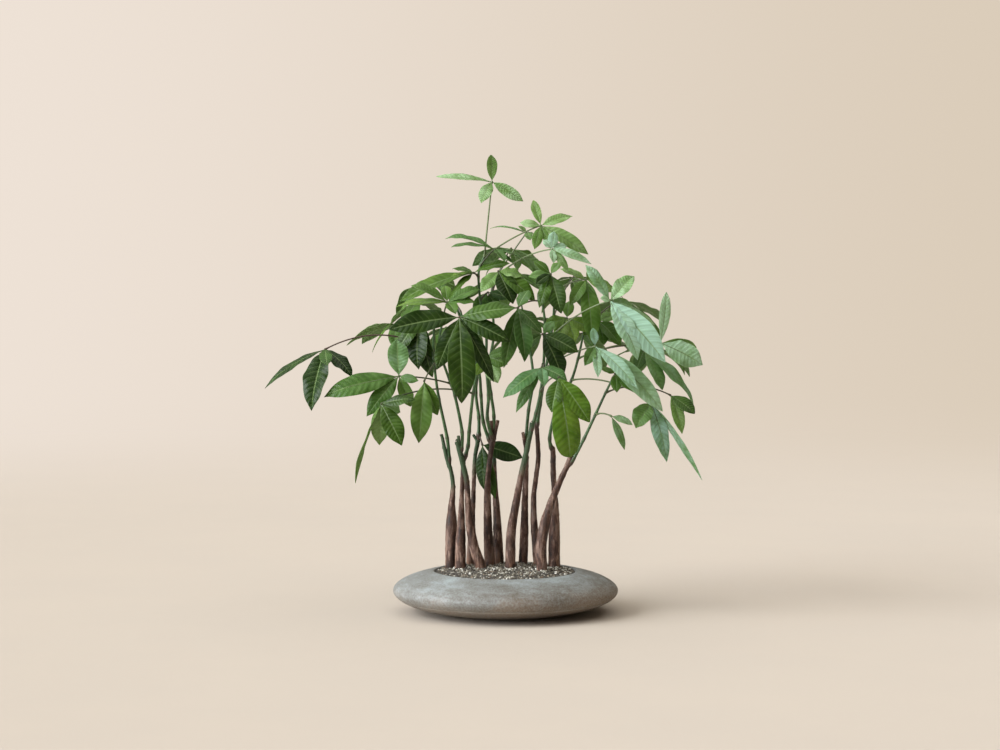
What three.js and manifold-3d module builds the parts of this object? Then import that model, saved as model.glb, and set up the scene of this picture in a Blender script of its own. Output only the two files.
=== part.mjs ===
// Potted money tree: a grove of eleven slim trunks in a low, lens-shaped concrete planter.
// Millimetres, +Z up. The origin is the centre of the planter's foot, on the surface it stands on.
// The plant is seen from -Y, so a leaf with a smaller Y stands nearer to the front.
import * as THREE from 'three';
import { mergeVertices } from 'three/addons/utils/BufferGeometryUtils.js';
import Module from 'manifold-3d';

const wasm = await Module();
wasm.setup();

// Planter: an oval of revolution, cut flat at the foot and at the opening.
const planterRadius = 192;
const planterHalfHeight = 44;
const footRadius = 100;
const openingRadius = 121;
const wallTaper = 9;
const floorThickness = 14;
const lipRadius = 3;
const lipDrop = 1;
const planterSides = 32;
const planterSteps = 9;

// What fills the planter, from the floor up.
const seat = 0.3;
const gravelThickness = 9;
const gravelHeap = 5;
const gravelRelief = 1.1;
const gravelEdgeDrop = 2;
const gravelRings = 5;
const gritWaves = { x: [0.31, -0.11], y: [0.17, 0.37] };

// Trunks and green growth.
const trunkFoot = 44;
const trunkFootTaper = 0.85;
const stubTaper = 1.1;
const trunkSides = 7;
const stemSides = 5;
const petioleSides = 3;
const petioleSteps = 3;
const stemRadius = 3.1;
const stemTipRadius = 1.9;
const petioleRadius = 1.15;
const petioleFlare = 1.3;
const hubRadius = 3.2;
const leafletRoot = 1.2;
const up = new THREE.Vector3(0, 0, 1);

// Blade of one leaflet: thickness at the rib, how far it folds up and arches, and its outline.
const bladeThickness = 1.5;
const bladeFold = 0.16;
const bladeArch = 0.12;
const stalkHalfWidth = 1.3;
const bladeOutline = [[0.3, 0.84], [0.58, 1], [0.84, 0.58]];

// A leaflet shorter than this has a plainer outline. Each entry is [share of the length, half width].
const smallBlade = 74;
const smallOutline = [[0.36, 0.94], [0.74, 0.84]];

const equatorHeight = planterHalfHeight * Math.sqrt(1 - (footRadius / planterRadius) ** 2);
const rimHeight = equatorHeight + planterHalfHeight * Math.sqrt(1 - (openingRadius / planterRadius) ** 2);
const gravelTop = rimHeight - lipDrop;
const gravelBottom = gravelTop - gravelThickness;

// Trunks: points of the axis from the gravel up, each with the trunk's radius there, then cut stubs.
const trunks = [
  {
    axis: [[-94, 30, 74, 9.3], [-93, 30, 138, 10], [-92, 30, 183, 5.6], [-90, 30, 213, 3.9],
      [-94, 30, 240, 3.7], [-101, 30, 262, 3.6], [-110, 31, 302, 2.6]],
    stubs: [],
  },
  {
    axis: [[-77, 5, 74, 9.3], [-77, 5, 110, 9], [-76, 5, 140, 7.5], [-75, 6, 188, 4.3],
      [-73, 6, 240, 3.6], [-71, 6, 268, 3.8]],
    stubs: [],
  },
  {
    axis: [[-42, -2, 74, 9.5], [-54, -2, 113, 8.2], [-61, -3, 151, 7], [-64, -4, 188, 5.2],
      [-66, -4, 223, 4.6], [-72, -4, 251, 4.5], [-80, -4, 284, 4.6], [-83, -4, 293, 4.2]],
    stubs: [[[-79, -4, 280], [-80, -6, 302], 2.6]],
  },
  {
    axis: [[-60, 64, 74, 8], [-58, 62, 120, 7], [-57, 60, 159, 4.6], [-55, 60, 201, 4],
      [-54, 60, 231, 3.8], [-52, 60, 263, 3.6], [-47, 60, 290, 3.6]],
    stubs: [[[-47, 60, 286], [-56, 62, 299], 2.2]],
  },
  {
    axis: [[-27, 42, 74, 9.3], [-30, 40, 138, 7.6], [-31, 38, 188, 6.2], [-30, 35, 225, 4.8],
      [-26, 33, 263, 4.4], [-22, 31, 291, 5], [-20, 31, 304, 4]],
    stubs: [[[-21, 31, 290], [-25, 32, 325], 3], [[-21, 31, 290], [-13, 30, 326], 3]],
  },
  {
    axis: [[-12, 64, 74, 9], [-13, 66, 113, 8.2], [-15, 68, 163, 6.4], [-18, 71, 210, 4.6],
      [-20, 73, 256, 4], [-21, 74, 272, 4]],
    stubs: [],
  },
  {
    axis: [[8, -2, 74, 8.8], [10, -2, 138, 8], [20, -2, 198, 6], [28, -2, 239, 5],
      [36, -2, 276, 4.6], [44, -2, 313, 4.2], [46, -2, 325, 4.6]],
    stubs: [],
  },
  {
    axis: [[31, 76, 74, 8], [33, 74, 138, 7], [34, 71, 188, 5.4], [36, 68, 239, 4.2],
      [36, 66, 272, 4]],
    stubs: [[[36, 66, 270], [30, 62, 303], 2.8]],
  },
  {
    axis: [[56, 58, 74, 7.5], [50, 64, 138, 6], [49, 68, 188, 4.6], [53, 70, 223, 4.1],
      [57, 70, 258, 4], [55, 70, 298, 3.8], [53, 70, 319, 3.6]],
    stubs: [],
  },
  {
    axis: [[62, -28, 74, 9], [60, -28, 113, 9.6], [66, -28, 151, 8.8], [76, -28, 186, 6.6],
      [88, -28, 216, 5.5], [100, -28, 243, 4.6], [106, -28, 256, 4.6], [114, -27, 284, 3]],
    stubs: [],
  },
  {
    axis: [[84, 36, 74, 10], [84, 37, 138, 9.8], [84, 38, 172, 8], [84, 39, 201, 5],
      [82, 40, 239, 4.9], [82, 40, 268, 4.5], [80, 40, 280, 4.2]],
    stubs: [],
  },
];

// Leafy shoots. "from" is the trunk that a shoot grows out of, "stem" its nodes, where leaf stalks
// leave it, and each leaf has the node it grows at, the place where its leaflets spread, the way its
// face looks, and the tips of its leaflets from there as [x, y, z, width, turn]. "whole" leaves, out
// of sight behind the crown, spread all round by one rule.
const shoots = [
  {
    name: 'shoot_left', from: 1,
    stem: [[-96, 30, 250], [-100, 30, 295], [-114, 26, 363], [-121, 20, 414], [-123, 14, 447],
      [-122, 8, 485]],
    leaves: [
      { node: 4, hub: [-305, -35, 450], face: [-0.1, -0.3, 1], rise: 50, tips: [
        [-103, -20, -62, 21, -5], [-21, -55, -99, 44], [50, -30, -42, 32], [8, -62, -24, 22]] },
      { node: 5, hub: [-146, -20, 500], face: [-0.3, -1, 0.4], rise: 5, tips: [
        [-4, -20, -84, 40], [22, -5, -98, 34], [-36, -15, -52, 28]] },
    ],
    whole: [[5, -190, 100, 490]],
  },
  {
    name: 'shoot_left_front', from: 3,
    stem: [[-76, -4, 270], [-74, -4, 308], [-86, -6, 370], [-93, -10, 391], [-108, -15, 435],
      [-112, -20, 465], [-106, -26, 500]],
    leaves: [
      { node: 3, hub: [-179, -60, 406], face: [-0.1, -1, 0.4], rise: 6, tips: [
        [-127, -25, -29, 39], [-54, -15, -67, 31], [20, 10, -52, 24], [33, -15, -7, 15],
        [-4, 12, 62, 36]] },
      { node: 4, hub: [-136, -85, 399], face: [0, -1, 0.3], rise: 14, tips: [
        [-8, -12, -104, 36], [22, 10, -58, 24]] },
      { node: 6, hub: [-98, -55, 530], face: [0, -0.6, 0.8], rise: 6, tips: [
        [-60, -10, 30, 22], [-4, 20, 29, 18], [-86, -15, -5, 24], [55, 10, 24, 24],
        [15, -34, -17, 20], [48, -6, 2, 22]] },
    ],
    whole: [],
  },
  {
    name: 'shoot_front', from: 2,
    stem: [[-71, 6, 258], [-64, 8, 283], [-62, 6, 308], [-55, -5, 374], [-48, -12, 409],
      [-45, -30, 445], [-58, -50, 480]],
    leaves: [
      { node: 3, hub: [-207, -100, 362], face: [0, -1, 0.5], rise: 30, tips: [
        [57, -20, 11, 21], [35, -22, -68, 34], [-3, 5, -70, 31], [32, 18, -15, 24],
        [-49, 12, -131, 26, 75]] },
      { node: 4, hub: [-31, -45, 438], face: [0, -1, 0.4], rise: 4, tips: [
        [18, -10, -44, 28], [34, -14, -12, 24], [40, -8, 12, 20], [-18, -12, -30, 18]] },
      { node: 6, hub: [-76, -125, 507], face: [0, -1, 0.5], rise: 16, tips: [
        [-116, -20, -20, 38], [6, -32, -141, 48], [-38, -8, -87, 33], [84, -14, -40, 30],
        [58, 6, -108, 26], [93, -10, 16, 34]] },
    ],
    whole: [],
  },
  {
    name: 'shoot_rear_left', from: 4,
    stem: [[-47, 60, 288], [-46, 60, 300], [-46, 62, 329], [-51, 64, 371], [-48, 70, 420],
      [-62, 80, 465], [-78, 92, 510]],
    leaves: [
      { node: 1, hub: [-40, 50, 282], face: [0, -1, 0.35], rise: 3, tips: [
        [70, 2, -23, 33], [2, -2, -83, 25, 15], [22, 4, -97, 20]] },
    ],
    whole: [[4, -105, 190, 480], [6, -125, 130, 570]],
  },
  {
    name: 'shoot_middle', from: 5,
    stem: [[-25, 34, 284], [-38, 36, 322], [-42, 32, 369], [-46, 24, 412], [-66, 26, 470],
      [-84, 30, 520]],
    leaves: [
      { node: 5, hub: [-150, 20, 530], face: [-0.2, -0.2, 1], rise: 14, tips: [
        [-82, -5, -84, 30, 30], [-50, 58, -40, 30], [-20, -60, -42, 32], [40, 46, -20, 26]] },
    ],
    whole: [],
  },
  {
    name: 'shoot_tall', from: 5,
    stem: [[-22, 29, 291], [-31, 21, 329], [-29, 20, 369], [-33, 14, 423], [-33, 10, 477],
      [-43, 8, 533], [-46, 6, 572], [-43, 6, 591], [-36, 6, 606]],
    leaves: [
      { node: 6, hub: [-55, 0, 579], face: [-0.1, -0.4, 1], rise: 2, tips: [
        [-36, 22, 9, 20], [-125, -5, -49, 34], [62, 5, 16, 22], [-39, -30, -5, 18],
        [-44, -26, -50, 26]] },
      { node: 5, hub: [-30, 34, 545], face: [0, -0.8, 0.6], rise: 4, tips: [
        [22, -8, -44, 24], [-24, -8, -36, 22], [36, -4, -10, 20]] },
      { node: 8, hub: [-23, 0, 733], face: [0.1, -1, 0.35], rise: 2, tips: [
        [0, 14, 48, 19], [-95, 4, 9, 20, 45], [-19, -30, -35, 22], [53, -6, -33, 20, 35]] },
      { node: 8, hub: [60, 0, 659], face: [0, -1, 0.5], rise: 10, tips: [
        [-15, 22, 45, 16], [54, 8, 17, 21], [81, -10, -49, 24], [-36, 4, 5, 15],
        [-11, -20, -40, 18], [14, -14, -34, 13]] },
      { node: 7, hub: [-18, -4, 619], face: [0, -0.25, 1], rise: 4, tips: [
        [-85, 12, 22, 20], [-74, -24, 8, 20], [58, -8, -22, 20], [17, -34, -20, 18],
        [42, -12, -36, 18]] },
    ],
    whole: [],
  },
  {
    name: 'shoot_centre', from: 6,
    stem: [[-21, 74, 262], [-20, 72, 329], [-25, 66, 369], [-29, 60, 415], [-20, 56, 473],
      [-24, 52, 540], [-16, 48, 572]],
    leaves: [
      { node: 6, hub: [36, 38, 647], face: [0, -0.6, 0.9], rise: 2, tips: [
        [-63, 4, 11, 7], [-14, 8, 13, 10], [6, -32, -12, 14], [22, 26, -6, 14]] },
      { node: 6, hub: [78, -38, 619], face: [0.1, -0.8, 0.7], rise: 18, tips: [
        [4, 14, 30, 19], [-15, 4, 16, 13], [66, -8, -25, 20], [27, -22, -37, 17],
        [2, -26, -23, 13], [26, 12, 6, 14]] },
      { node: 5, hub: [-12, -38, 582], face: [0.1, -0.9, 0.6], rise: 10, tips: [
        [24, -20, -55, 38], [-30, -18, -34, 24], [44, 2, -8, 22], [62, -6, -50, 30]] },
    ],
    whole: [[5, 10, 125, 620]],
  },
  {
    name: 'shoot_right_front', from: 7,
    stem: [[42, -2, 304], [52, -4, 340], [60, -8, 378], [64, -12, 415], [66, -18, 460],
      [66, -24, 500], [62, -30, 530]],
    leaves: [
      { node: 2, hub: [87, -140, 408], face: [0, -1, 0.35], rise: 16, tips: [
        [22, -22, -131, 48], [52, -8, -74, 36], [-12, -12, -57, 28]] },
      { node: 3, hub: [60, -115, 424], face: [-0.1, -0.9, 0.6], rise: 16, tips: [
        [-64, -20, -50, 30], [3, -34, -30, 18], [-43, 4, -76, 20], [42, -22, -20, 24]] },
      { node: 4, hub: [62, -65, 477], face: [0.1, -0.9, 0.6], rise: 6, tips: [
        [60, -15, -30, 30], [35, -20, -75, 34], [-40, -14, -30, 24], [20, 8, 22, 18]] },
      { node: 3, hub: [150, -60, 456], face: [0.2, -0.8, 0.7], rise: 12, tips: [
        [-3, 12, 31, 15], [116, -16, -108, 38], [70, -40, -68, 26], [-18, -26, -31, 20],
        [4, -34, -50, 16]] },
      { node: 4, hub: [174, -80, 533], face: [0.1, -1, 0.5], rise: 22, tips: [
        [-39, 10, 63, 22], [41, 12, 43, 29], [92, -20, -102, 42], [48, -34, -96, 36],
        [-16, -10, 5, 13], [42, 34, -18, 26], [78, 44, -42, 14, 40]] },
      { node: 6, hub: [20, -105, 522], face: [0, -0.8, 0.8], rise: 12, tips: [
        [-84, -14, -18, 34], [40, -10, -42, 30], [18, 14, 30, 24], [14, -26, -88, 30],
        [-22, -14, -100, 28]] },
    ],
    whole: [],
  },
  {
    name: 'shoot_rear_right', from: 9,
    stem: [[54, 70, 308], [60, 66, 350], [66, 60, 390], [74, 54, 440], [82, 44, 500],
      [84, 32, 545]],
    leaves: [
      { node: 5, hub: [76, -38, 577], face: [0, -0.9, 0.7], rise: 8, tips: [
        [-29, 10, 23, 16], [-37, -10, -4, 17], [16, 8, 22, 16], [-25, -24, -16, 16],
        [17, -18, -66, 32], [-20, -20, -56, 22]] },
      { node: 5, hub: [136, -20, 568], face: [0.2, -0.9, 0.6], rise: 10, tips: [
        [10, -20, -106, 34], [-28, -16, -44, 22], [52, 4, -22, 26], [20, 26, 16, 20],
        [20, -10, -60, 16], [-44, 10, 18, 16]] },
      { node: 4, hub: [104, -8, 502], face: [0.1, -0.9, 0.5], rise: 4, tips: [
        [-38, -12, -14, 26], [-18, -16, -36, 26], [14, -14, -40, 28], [50, -8, -22, 28],
        [4, 14, 30, 20]] },
    ],
    whole: [[4, 120, 150, 570], [3, 140, 185, 470]],
  },
  {
    name: 'shoot_rear', from: 8,
    stem: [[36, 67, 262], [36, 68, 292], [40, 72, 340], [48, 80, 393], [42, 96, 448],
      [30, 112, 510]],
    leaves: [],
    whole: [[4, 45, 215, 495], [5, 15, 215, 575]],
  },
  {
    name: 'shoot_right', from: 11,
    stem: [[81, 40, 270], [76, 36, 294], [83, 34, 330], [96, 30, 360], [113, 25, 395],
      [124, 20, 432], [134, 12, 480]],
    leaves: [
      { node: 4, hub: [246, -30, 360], face: [0.2, -0.9, 0.6], rise: 30, tips: [
        [-27, -18, -42, 34], [28, -12, -100, 30], [88, 6, -132, 14, 65]] },
      { node: 5, hub: [263, -15, 460], face: [0.2, -0.9, 0.5], rise: 20, tips: [
        [11, 14, 87, 20], [71, -10, -37, 41], [65, 26, -10, 24, 50]] },
      { node: 6, hub: [238, 30, 445], face: [0.4, -0.7, 0.6], rise: 24, tips: [
        [92, -6, -92, 30], [40, 50, -60, 34], [30, -24, -66, 30]] },
      { node: 6, hub: [158, 4, 497], face: [0.2, -0.8, 0.6], rise: 6, tips: [
        [38, -12, -42, 30], [10, -16, -40, 24], [-26, -8, -24, 22], [30, 8, 10, 20]] },
    ],
    whole: [[5, 245, 100, 450], [6, 205, 85, 530]],
  },
  {
    name: 'shoot_right_low', from: 10,
    stem: [[105, -28, 250], [115, -28, 264], [133, -32, 299], [152, -35, 340], [169, -38, 377],
      [181, -40, 402]],
    leaves: [
      { node: 3, hub: [178, -48, 338], face: [0.2, -0.9, 0.5], rise: 6, tips: [
        [36, -6, -14, 15], [24, -12, -56, 15]] },
      { node: 4, hub: [278, -40, 373], face: [0.3, -0.8, 0.6], rise: 26, tips: [
        [40, -14, -31, 28], [20, -20, -64, 22], [26, 24, -38, 20]] },
      { node: 5, hub: [184, -62, 410], face: [0.1, -0.8, 0.7], rise: 2, tips: [
        [34, -12, -28, 22], [2, -20, -30, 18], [-22, 8, 10, 15]] },
    ],
    whole: [],
  },
];

// Leaf of a whole rosette: five leaflets spread round the hub, the first one the longest.
const wholeLeaflets = 5;
const wholeLength = 112;
const wholeLengthChange = 0.2;
const wholeDroop = 0.5;
const wholeDroopChange = 0.2;
const wholeTilt = 0.35;
const wholeRise = 18;
const widthToLength = 0.33;

function vector(values) {
  return new THREE.Vector3(values[0], values[1], values[2]);
}

function smoothCurve(points) {
  return new THREE.CatmullRomCurve3(points.map(vector), false, 'catmullrom', 0.5);
}

// A closed solid from a three.js geometry, for joining and cutting.
function solidOf(geometry) {
  geometry.deleteAttribute('normal');
  geometry.deleteAttribute('uv');
  const merged = mergeVertices(geometry, 1e-4);
  return new wasm.Manifold(new wasm.Mesh({
    numProp: 3,
    vertProperties: new Float32Array(merged.attributes.position.array),
    triVerts: new Uint32Array(merged.index.array),
  }));
}

function geometryOf(solid) {
  const mesh = solid.getMesh();
  const geometry = new THREE.BufferGeometry();
  geometry.setAttribute('position', new THREE.BufferAttribute(mesh.vertProperties, 3));
  geometry.setIndex(new THREE.BufferAttribute(mesh.triVerts, 1));
  return geometry;
}

// Turned shape about the Z axis from a profile of [radius, height].
function turned(profile, sides) {
  const points = profile.map(([radius, height]) => new THREE.Vector2(radius, height));
  return new THREE.LatheGeometry(points, sides).rotateX(Math.PI / 2);
}

// Lathed rod whose height 0..1 is laid along a curve; "spread" places a point of its section.
function laidAlong(curve, profile, sides, spread) {
  const rod = turned(profile, sides);
  const place = rod.attributes.position;
  for (let i = 0; i < place.count; i += 1) {
    const along = THREE.MathUtils.clamp(place.getZ(i), 0, 1);
    const tangent = curve.getTangent(along);
    const point = curve.getPoint(along).add(spread(place.getX(i), place.getY(i), tangent, along));
    place.setXYZ(i, point.x, point.y, point.z);
  }
  return rod;
}

// Round section square to a curve, with "side" as the direction that its first corner keeps to.
function roundSection(side) {
  return (x, y, tangent) => {
    const across = new THREE.Vector3().crossVectors(tangent, side).normalize();
    const other = new THREE.Vector3().crossVectors(tangent, across);
    return across.multiplyScalar(x).addScaledVector(other, y);
  };
}

function rod(points, radii, sides, grow = 0) {
  const curve = smoothCurve(points);
  const last = points.length - 1;
  const profile = [[0, 0]];
  radii.forEach((radius, i) => profile.push([radius + grow, i / last]));
  profile.push([0, 1]);
  const side = new THREE.Vector3(0, 1, 0);
  return solidOf(laidAlong(curve, profile, sides, roundSection(side)));
}

function taperedRadii(count, start, end) {
  return Array.from({ length: count }, (_, i) => THREE.MathUtils.lerp(start, end, i / (count - 1)));
}

function planter() {
  const oval = (radius) => planterHalfHeight * Math.sqrt(1 - (radius / planterRadius) ** 2);
  const profile = [[0, 0], [footRadius, 0]];
  const lower = Math.asin(oval(footRadius) / planterHalfHeight);
  const upper = Math.asin(oval(openingRadius + lipRadius) / planterHalfHeight);
  for (let i = 1; i <= planterSteps; i += 1) {
    const angle = THREE.MathUtils.lerp(-lower, upper, i / planterSteps);
    profile.push([planterRadius * Math.cos(angle), equatorHeight + planterHalfHeight * Math.sin(angle)]);
  }
  profile.push([openingRadius, rimHeight - lipDrop]);
  profile.push([openingRadius - wallTaper, floorThickness]);
  profile.push([0, floorThickness]);
  return turned(profile, planterSides);
}

// Inner radius of the planter at a height.
function hollowRadius(height) {
  const share = (height - floorThickness) / (rimHeight - floorThickness);
  return openingRadius - wallTaper * (1 - share) - seat;
}

function trunkSolid(trunk, grow) {
  const [x, y, , radius] = trunk.axis[0];
  const buried = [[x, y, trunkFoot - grow, radius * trunkFootTaper], ...trunk.axis];
  let solid = rod(buried, buried.map((point) => point[3]), trunkSides, grow);
  trunk.stubs.forEach(([start, end, stubRadius]) => {
    const radii = taperedRadii(3, stubRadius * stubTaper, stubRadius);
    const middle = vector(start).lerp(vector(end), 0.5).toArray();
    solid = solid.add(rod([start, middle, end], radii, trunkSides - 2, grow));
  });
  return solid;
}

function soil(holes) {
  const top = gravelBottom - seat;
  const bottom = floorThickness + seat;
  const profile = [[0, bottom], [hollowRadius(bottom), bottom], [hollowRadius(top), top], [0, top]];
  return geometryOf(solidOf(turned(profile, planterSides)).subtract(holes));
}

// Gravel: a shallow heap whose face rises and falls like loose grit.
function gravel(holes) {
  const edge = hollowRadius(gravelBottom);
  const profile = [[0, gravelBottom], [edge, gravelBottom], [edge, gravelTop - gravelEdgeDrop]];
  for (let i = 1; i < gravelRings; i += 1) {
    profile.push([edge * (1 - i / gravelRings), gravelTop]);
  }
  profile.push([0, gravelTop]);
  const bed = turned(profile, planterSides);
  const place = bed.attributes.position;
  for (let i = 0; i < place.count; i += 1) {
    const x = place.getX(i);
    const y = place.getY(i);
    const share = Math.hypot(x, y) / edge;
    if (place.getZ(i) > gravelTop - gravelEdgeDrop / 2) {
      const [first, second] = [0, 1].map((k) => x * gritWaves.x[k] + y * gritWaves.y[k]);
      const grit = Math.sin(first) * Math.cos(second);
      place.setZ(i, gravelTop + gravelHeap * (1 - share ** 2) + gravelRelief * grit);
    }
  }
  return geometryOf(solidOf(bed).subtract(holes));
}

// One leaflet from the hub to its tip: four corners a section, sharp edges lifted off the rib.
function leaflet(hub, face, [x, y, z, width, turn = 0]) {
  const tip = hub.clone().add(new THREE.Vector3(x, y, z));
  const length = hub.distanceTo(tip);
  const bend = hub.clone().lerp(tip, 0.5).addScaledVector(face, bladeArch * length);
  const root = hub.clone().lerp(bend, leafletRoot / hub.distanceTo(bend));
  const curve = new THREE.QuadraticBezierCurve3(root, bend, tip);
  const profile = [[0, 0], [stalkHalfWidth / width, 0]];
  const outline = length < smallBlade ? smallOutline : bladeOutline;
  outline.forEach(([along, half]) => profile.push([half / 2, along]));
  profile.push([0, 1]);
  const section = (u, v, tangent, along) => {
    const across = new THREE.Vector3().crossVectors(face, tangent).normalize();
    across.applyAxisAngle(tangent, THREE.MathUtils.degToRad(turn));
    const normal = new THREE.Vector3().crossVectors(tangent, across);
    const reach = u * width;
    const thick = Math.sign(Math.round(v * width)) * bladeThickness / 2;
    const lift = Math.abs(reach) * bladeFold;
    return across.multiplyScalar(reach).addScaledVector(normal, thick + (along > 0 ? lift : 0));
  };
  return solidOf(laidAlong(curve, profile, 4, section));
}

// Leaflets of a leaf spread all round, its longest one pointing away from the stem.
function wholeTips(base, hub) {
  const away = Math.atan2(hub.y - base.y, hub.x - base.x);
  return Array.from({ length: wholeLeaflets }, (_, i) => {
    const angle = away + (i * 2 * Math.PI) / wholeLeaflets;
    const length = wholeLength * (1 - wholeLengthChange * (1 - Math.cos(angle - away)));
    const drop = wholeDroop + wholeDroopChange * Math.sin(hub.x + i * i);
    const reach = length * Math.cos(drop);
    return [reach * Math.cos(angle), reach * Math.sin(angle), -length * Math.sin(drop),
      length * widthToLength];
  });
}

// One leaf: its stalk from a node of the stem, the small hub, and the leaflets.
function leaf(base, { hub, face, rise, tips }) {
  const middle = base.clone().lerp(hub, 0.5).addScaledVector(up, rise);
  const curve = new THREE.QuadraticBezierCurve3(base, middle, hub);
  const stations = curve.getPoints(petioleSteps).map((point) => point.toArray());
  const radii = taperedRadii(stations.length, petioleRadius * petioleFlare, petioleRadius);
  const pieces = [rod(stations, radii, petioleSides)];
  const hubShape = new THREE.OctahedronGeometry(hubRadius, 0);
  pieces.push(solidOf(hubShape.translate(hub.x, hub.y, hub.z)));
  const facing = vector(face).normalize();
  tips.forEach((tip) => pieces.push(leaflet(hub, facing, tip)));
  return pieces;
}

function shootSolid(shoot, trunkCut) {
  const radii = taperedRadii(shoot.stem.length, stemRadius, stemTipRadius);
  const pieces = [rod(shoot.stem, radii, stemSides).subtract(trunkCut)];
  shoot.leaves.forEach((item) => {
    const hub = vector(item.hub);
    pieces.push(...leaf(vector(shoot.stem[item.node]), { ...item, hub }));
  });
  shoot.whole.forEach(([node, x, y, z]) => {
    const base = vector(shoot.stem[node]);
    const hub = new THREE.Vector3(x, y, z);
    const face = hub.clone().sub(base).setZ(0).normalize().multiplyScalar(wholeTilt).add(up);
    const tips = wholeTips(base, hub);
    pieces.push(...leaf(base, { hub, face: face.toArray(), rise: wholeRise, tips }));
  });
  return pieces.reduce((sum, piece) => sum.add(piece));
}

const materials = {
  concrete: new THREE.MeshStandardMaterial({ color: 0x8f918d, roughness: 0.85, metalness: 0 }),
  soil: new THREE.MeshStandardMaterial({ color: 0x3a2c22, roughness: 0.95, metalness: 0 }),
  gravel: new THREE.MeshStandardMaterial({ color: 0x8d8574, roughness: 0.9, metalness: 0 }),
  bark: new THREE.MeshStandardMaterial({ color: 0x5d4a40, roughness: 0.8, metalness: 0 }),
  leaf: new THREE.MeshStandardMaterial({ color: 0x3f6b33, roughness: 0.45, metalness: 0 }),
};

const group = new THREE.Group();

function place(name, geometry, material) {
  const mesh = new THREE.Mesh(geometry, material.clone());
  mesh.name = name;
  group.add(mesh);
}

const holes = trunks.map((trunk) => trunkSolid(trunk, seat)).reduce((sum, cut) => sum.add(cut));
place('planter', planter(), materials.concrete);
place('soil', soil(holes), materials.soil);
place('gravel', gravel(holes), materials.gravel);
trunks.forEach((trunk, i) => {
  const name = `trunk_${String(i + 1).padStart(2, '0')}`;
  place(name, geometryOf(trunkSolid(trunk, 0)), materials.bark);
});
shoots.forEach((shoot) => {
  const trunkCut = trunkSolid(trunks[shoot.from - 1], seat);
  place(shoot.name, geometryOf(shootSolid(shoot, trunkCut)), materials.leaf);
});

export default group;
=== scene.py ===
# Potted money tree: eleven slim trunks with leafy shoots, planted in a low, lens-shaped dish.
# Metres, +Z up. The origin is the centre of the dish's foot, and the front looks towards -Y.
import math
import random
from collections import namedtuple

import bmesh
import bpy
import numpy as np
from mathutils import Matrix, Vector, noise


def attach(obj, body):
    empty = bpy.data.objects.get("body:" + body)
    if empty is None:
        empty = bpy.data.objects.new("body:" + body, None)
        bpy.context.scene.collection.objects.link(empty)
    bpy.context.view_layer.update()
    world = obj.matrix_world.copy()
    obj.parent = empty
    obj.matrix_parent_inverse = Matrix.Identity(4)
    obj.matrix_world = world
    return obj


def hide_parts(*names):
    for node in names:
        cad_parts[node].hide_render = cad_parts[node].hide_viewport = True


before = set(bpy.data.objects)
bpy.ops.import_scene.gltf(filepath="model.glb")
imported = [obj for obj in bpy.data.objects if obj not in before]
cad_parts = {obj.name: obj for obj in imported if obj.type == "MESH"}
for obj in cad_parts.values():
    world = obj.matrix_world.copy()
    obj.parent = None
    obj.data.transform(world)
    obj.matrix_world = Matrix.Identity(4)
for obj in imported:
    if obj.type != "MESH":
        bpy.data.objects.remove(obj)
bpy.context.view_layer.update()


# Planter.
# A low, lens-shaped dish of grey concrete, 384 mm wide, cast in a two-part mould. The mould's joint
# shows below the widest place as a fine groove over a pale ridge, and the lip is rubbed round.
MM = 0.001
dish_radius = 192 * MM
dish_half_height = 44 * MM
dish_foot_radius = 100 * MM
opening_radius = 121 * MM
lip_width = 3 * MM
lip_fall = 0.4 * MM
lip_rounding = 1.1 * MM
foot_rounding = 1.5 * MM
dish_floor = 14 * MM
wall_taper = 9 * MM
joint_height = 24 * MM
joint_groove = 0.5 * MM
joint_ridge = 0.45 * MM
dish_unevenness = 0.9 * MM
dish_segments = 192
dish_rings = 96
shade_drift = 110 * MM
shade_edge = 90 * MM
shade_heights = (52 * MM, 74 * MM)
brown_shade_height = 42 * MM
concrete_grey = (0.200, 0.207, 0.199)
concrete_pale = (0.338, 0.390, 0.408)
concrete_dark = (0.128, 0.120, 0.106)
brown_and_painted_shade = (0.225, 0.158, 0.104)
concrete_painted_shade = (0.102, 0.080, 0.058)
concrete_band_pale = (0.340, 0.300, 0.250)
pinhole_dark = (0.055, 0.050, 0.043)


def nothing_selected():
    """Goes back to object mode with nothing selected, so that an operator acts on its own piece."""
    if bpy.context.mode != "OBJECT":
        bpy.ops.object.mode_set(mode="OBJECT")
    bpy.ops.object.select_all(action="DESELECT")


def take_up(piece):
    """Selects one piece alone and makes it the active one."""
    nothing_selected()
    piece.select_set(True)
    bpy.context.view_layer.objects.active = piece


def new_piece(primitive, **settings):
    """Adds a primitive as a piece of its own, which is then the active one."""
    nothing_selected()
    primitive(**settings)
    return bpy.context.object


def edit_all():
    """Goes into edit mode with the whole piece selected."""
    bpy.ops.object.mode_set(mode="EDIT")
    bpy.ops.mesh.select_all(action="SELECT")


def resize_selected(x, y, z, middle=0):
    """Resizes what is selected from a point on the Z axis."""
    bpy.ops.transform.resize(value=(x, y, z), center_override=(0, 0, middle))


def select_parts(kind, test):
    """In edit mode, selects the "verts", "edges" or "faces" that pass a test, and nothing else."""
    bpy.ops.mesh.select_mode(type={"verts": "VERT", "edges": "EDGE", "faces": "FACE"}[kind])
    bpy.ops.mesh.select_all(action="DESELECT")
    shape = bmesh.from_edit_mesh(bpy.context.object.data)
    for part in getattr(shape, kind):
        if test(part):
            part.select_set(True)
    shape.select_flush_mode()
    bmesh.update_edit_mesh(bpy.context.object.data)


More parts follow.
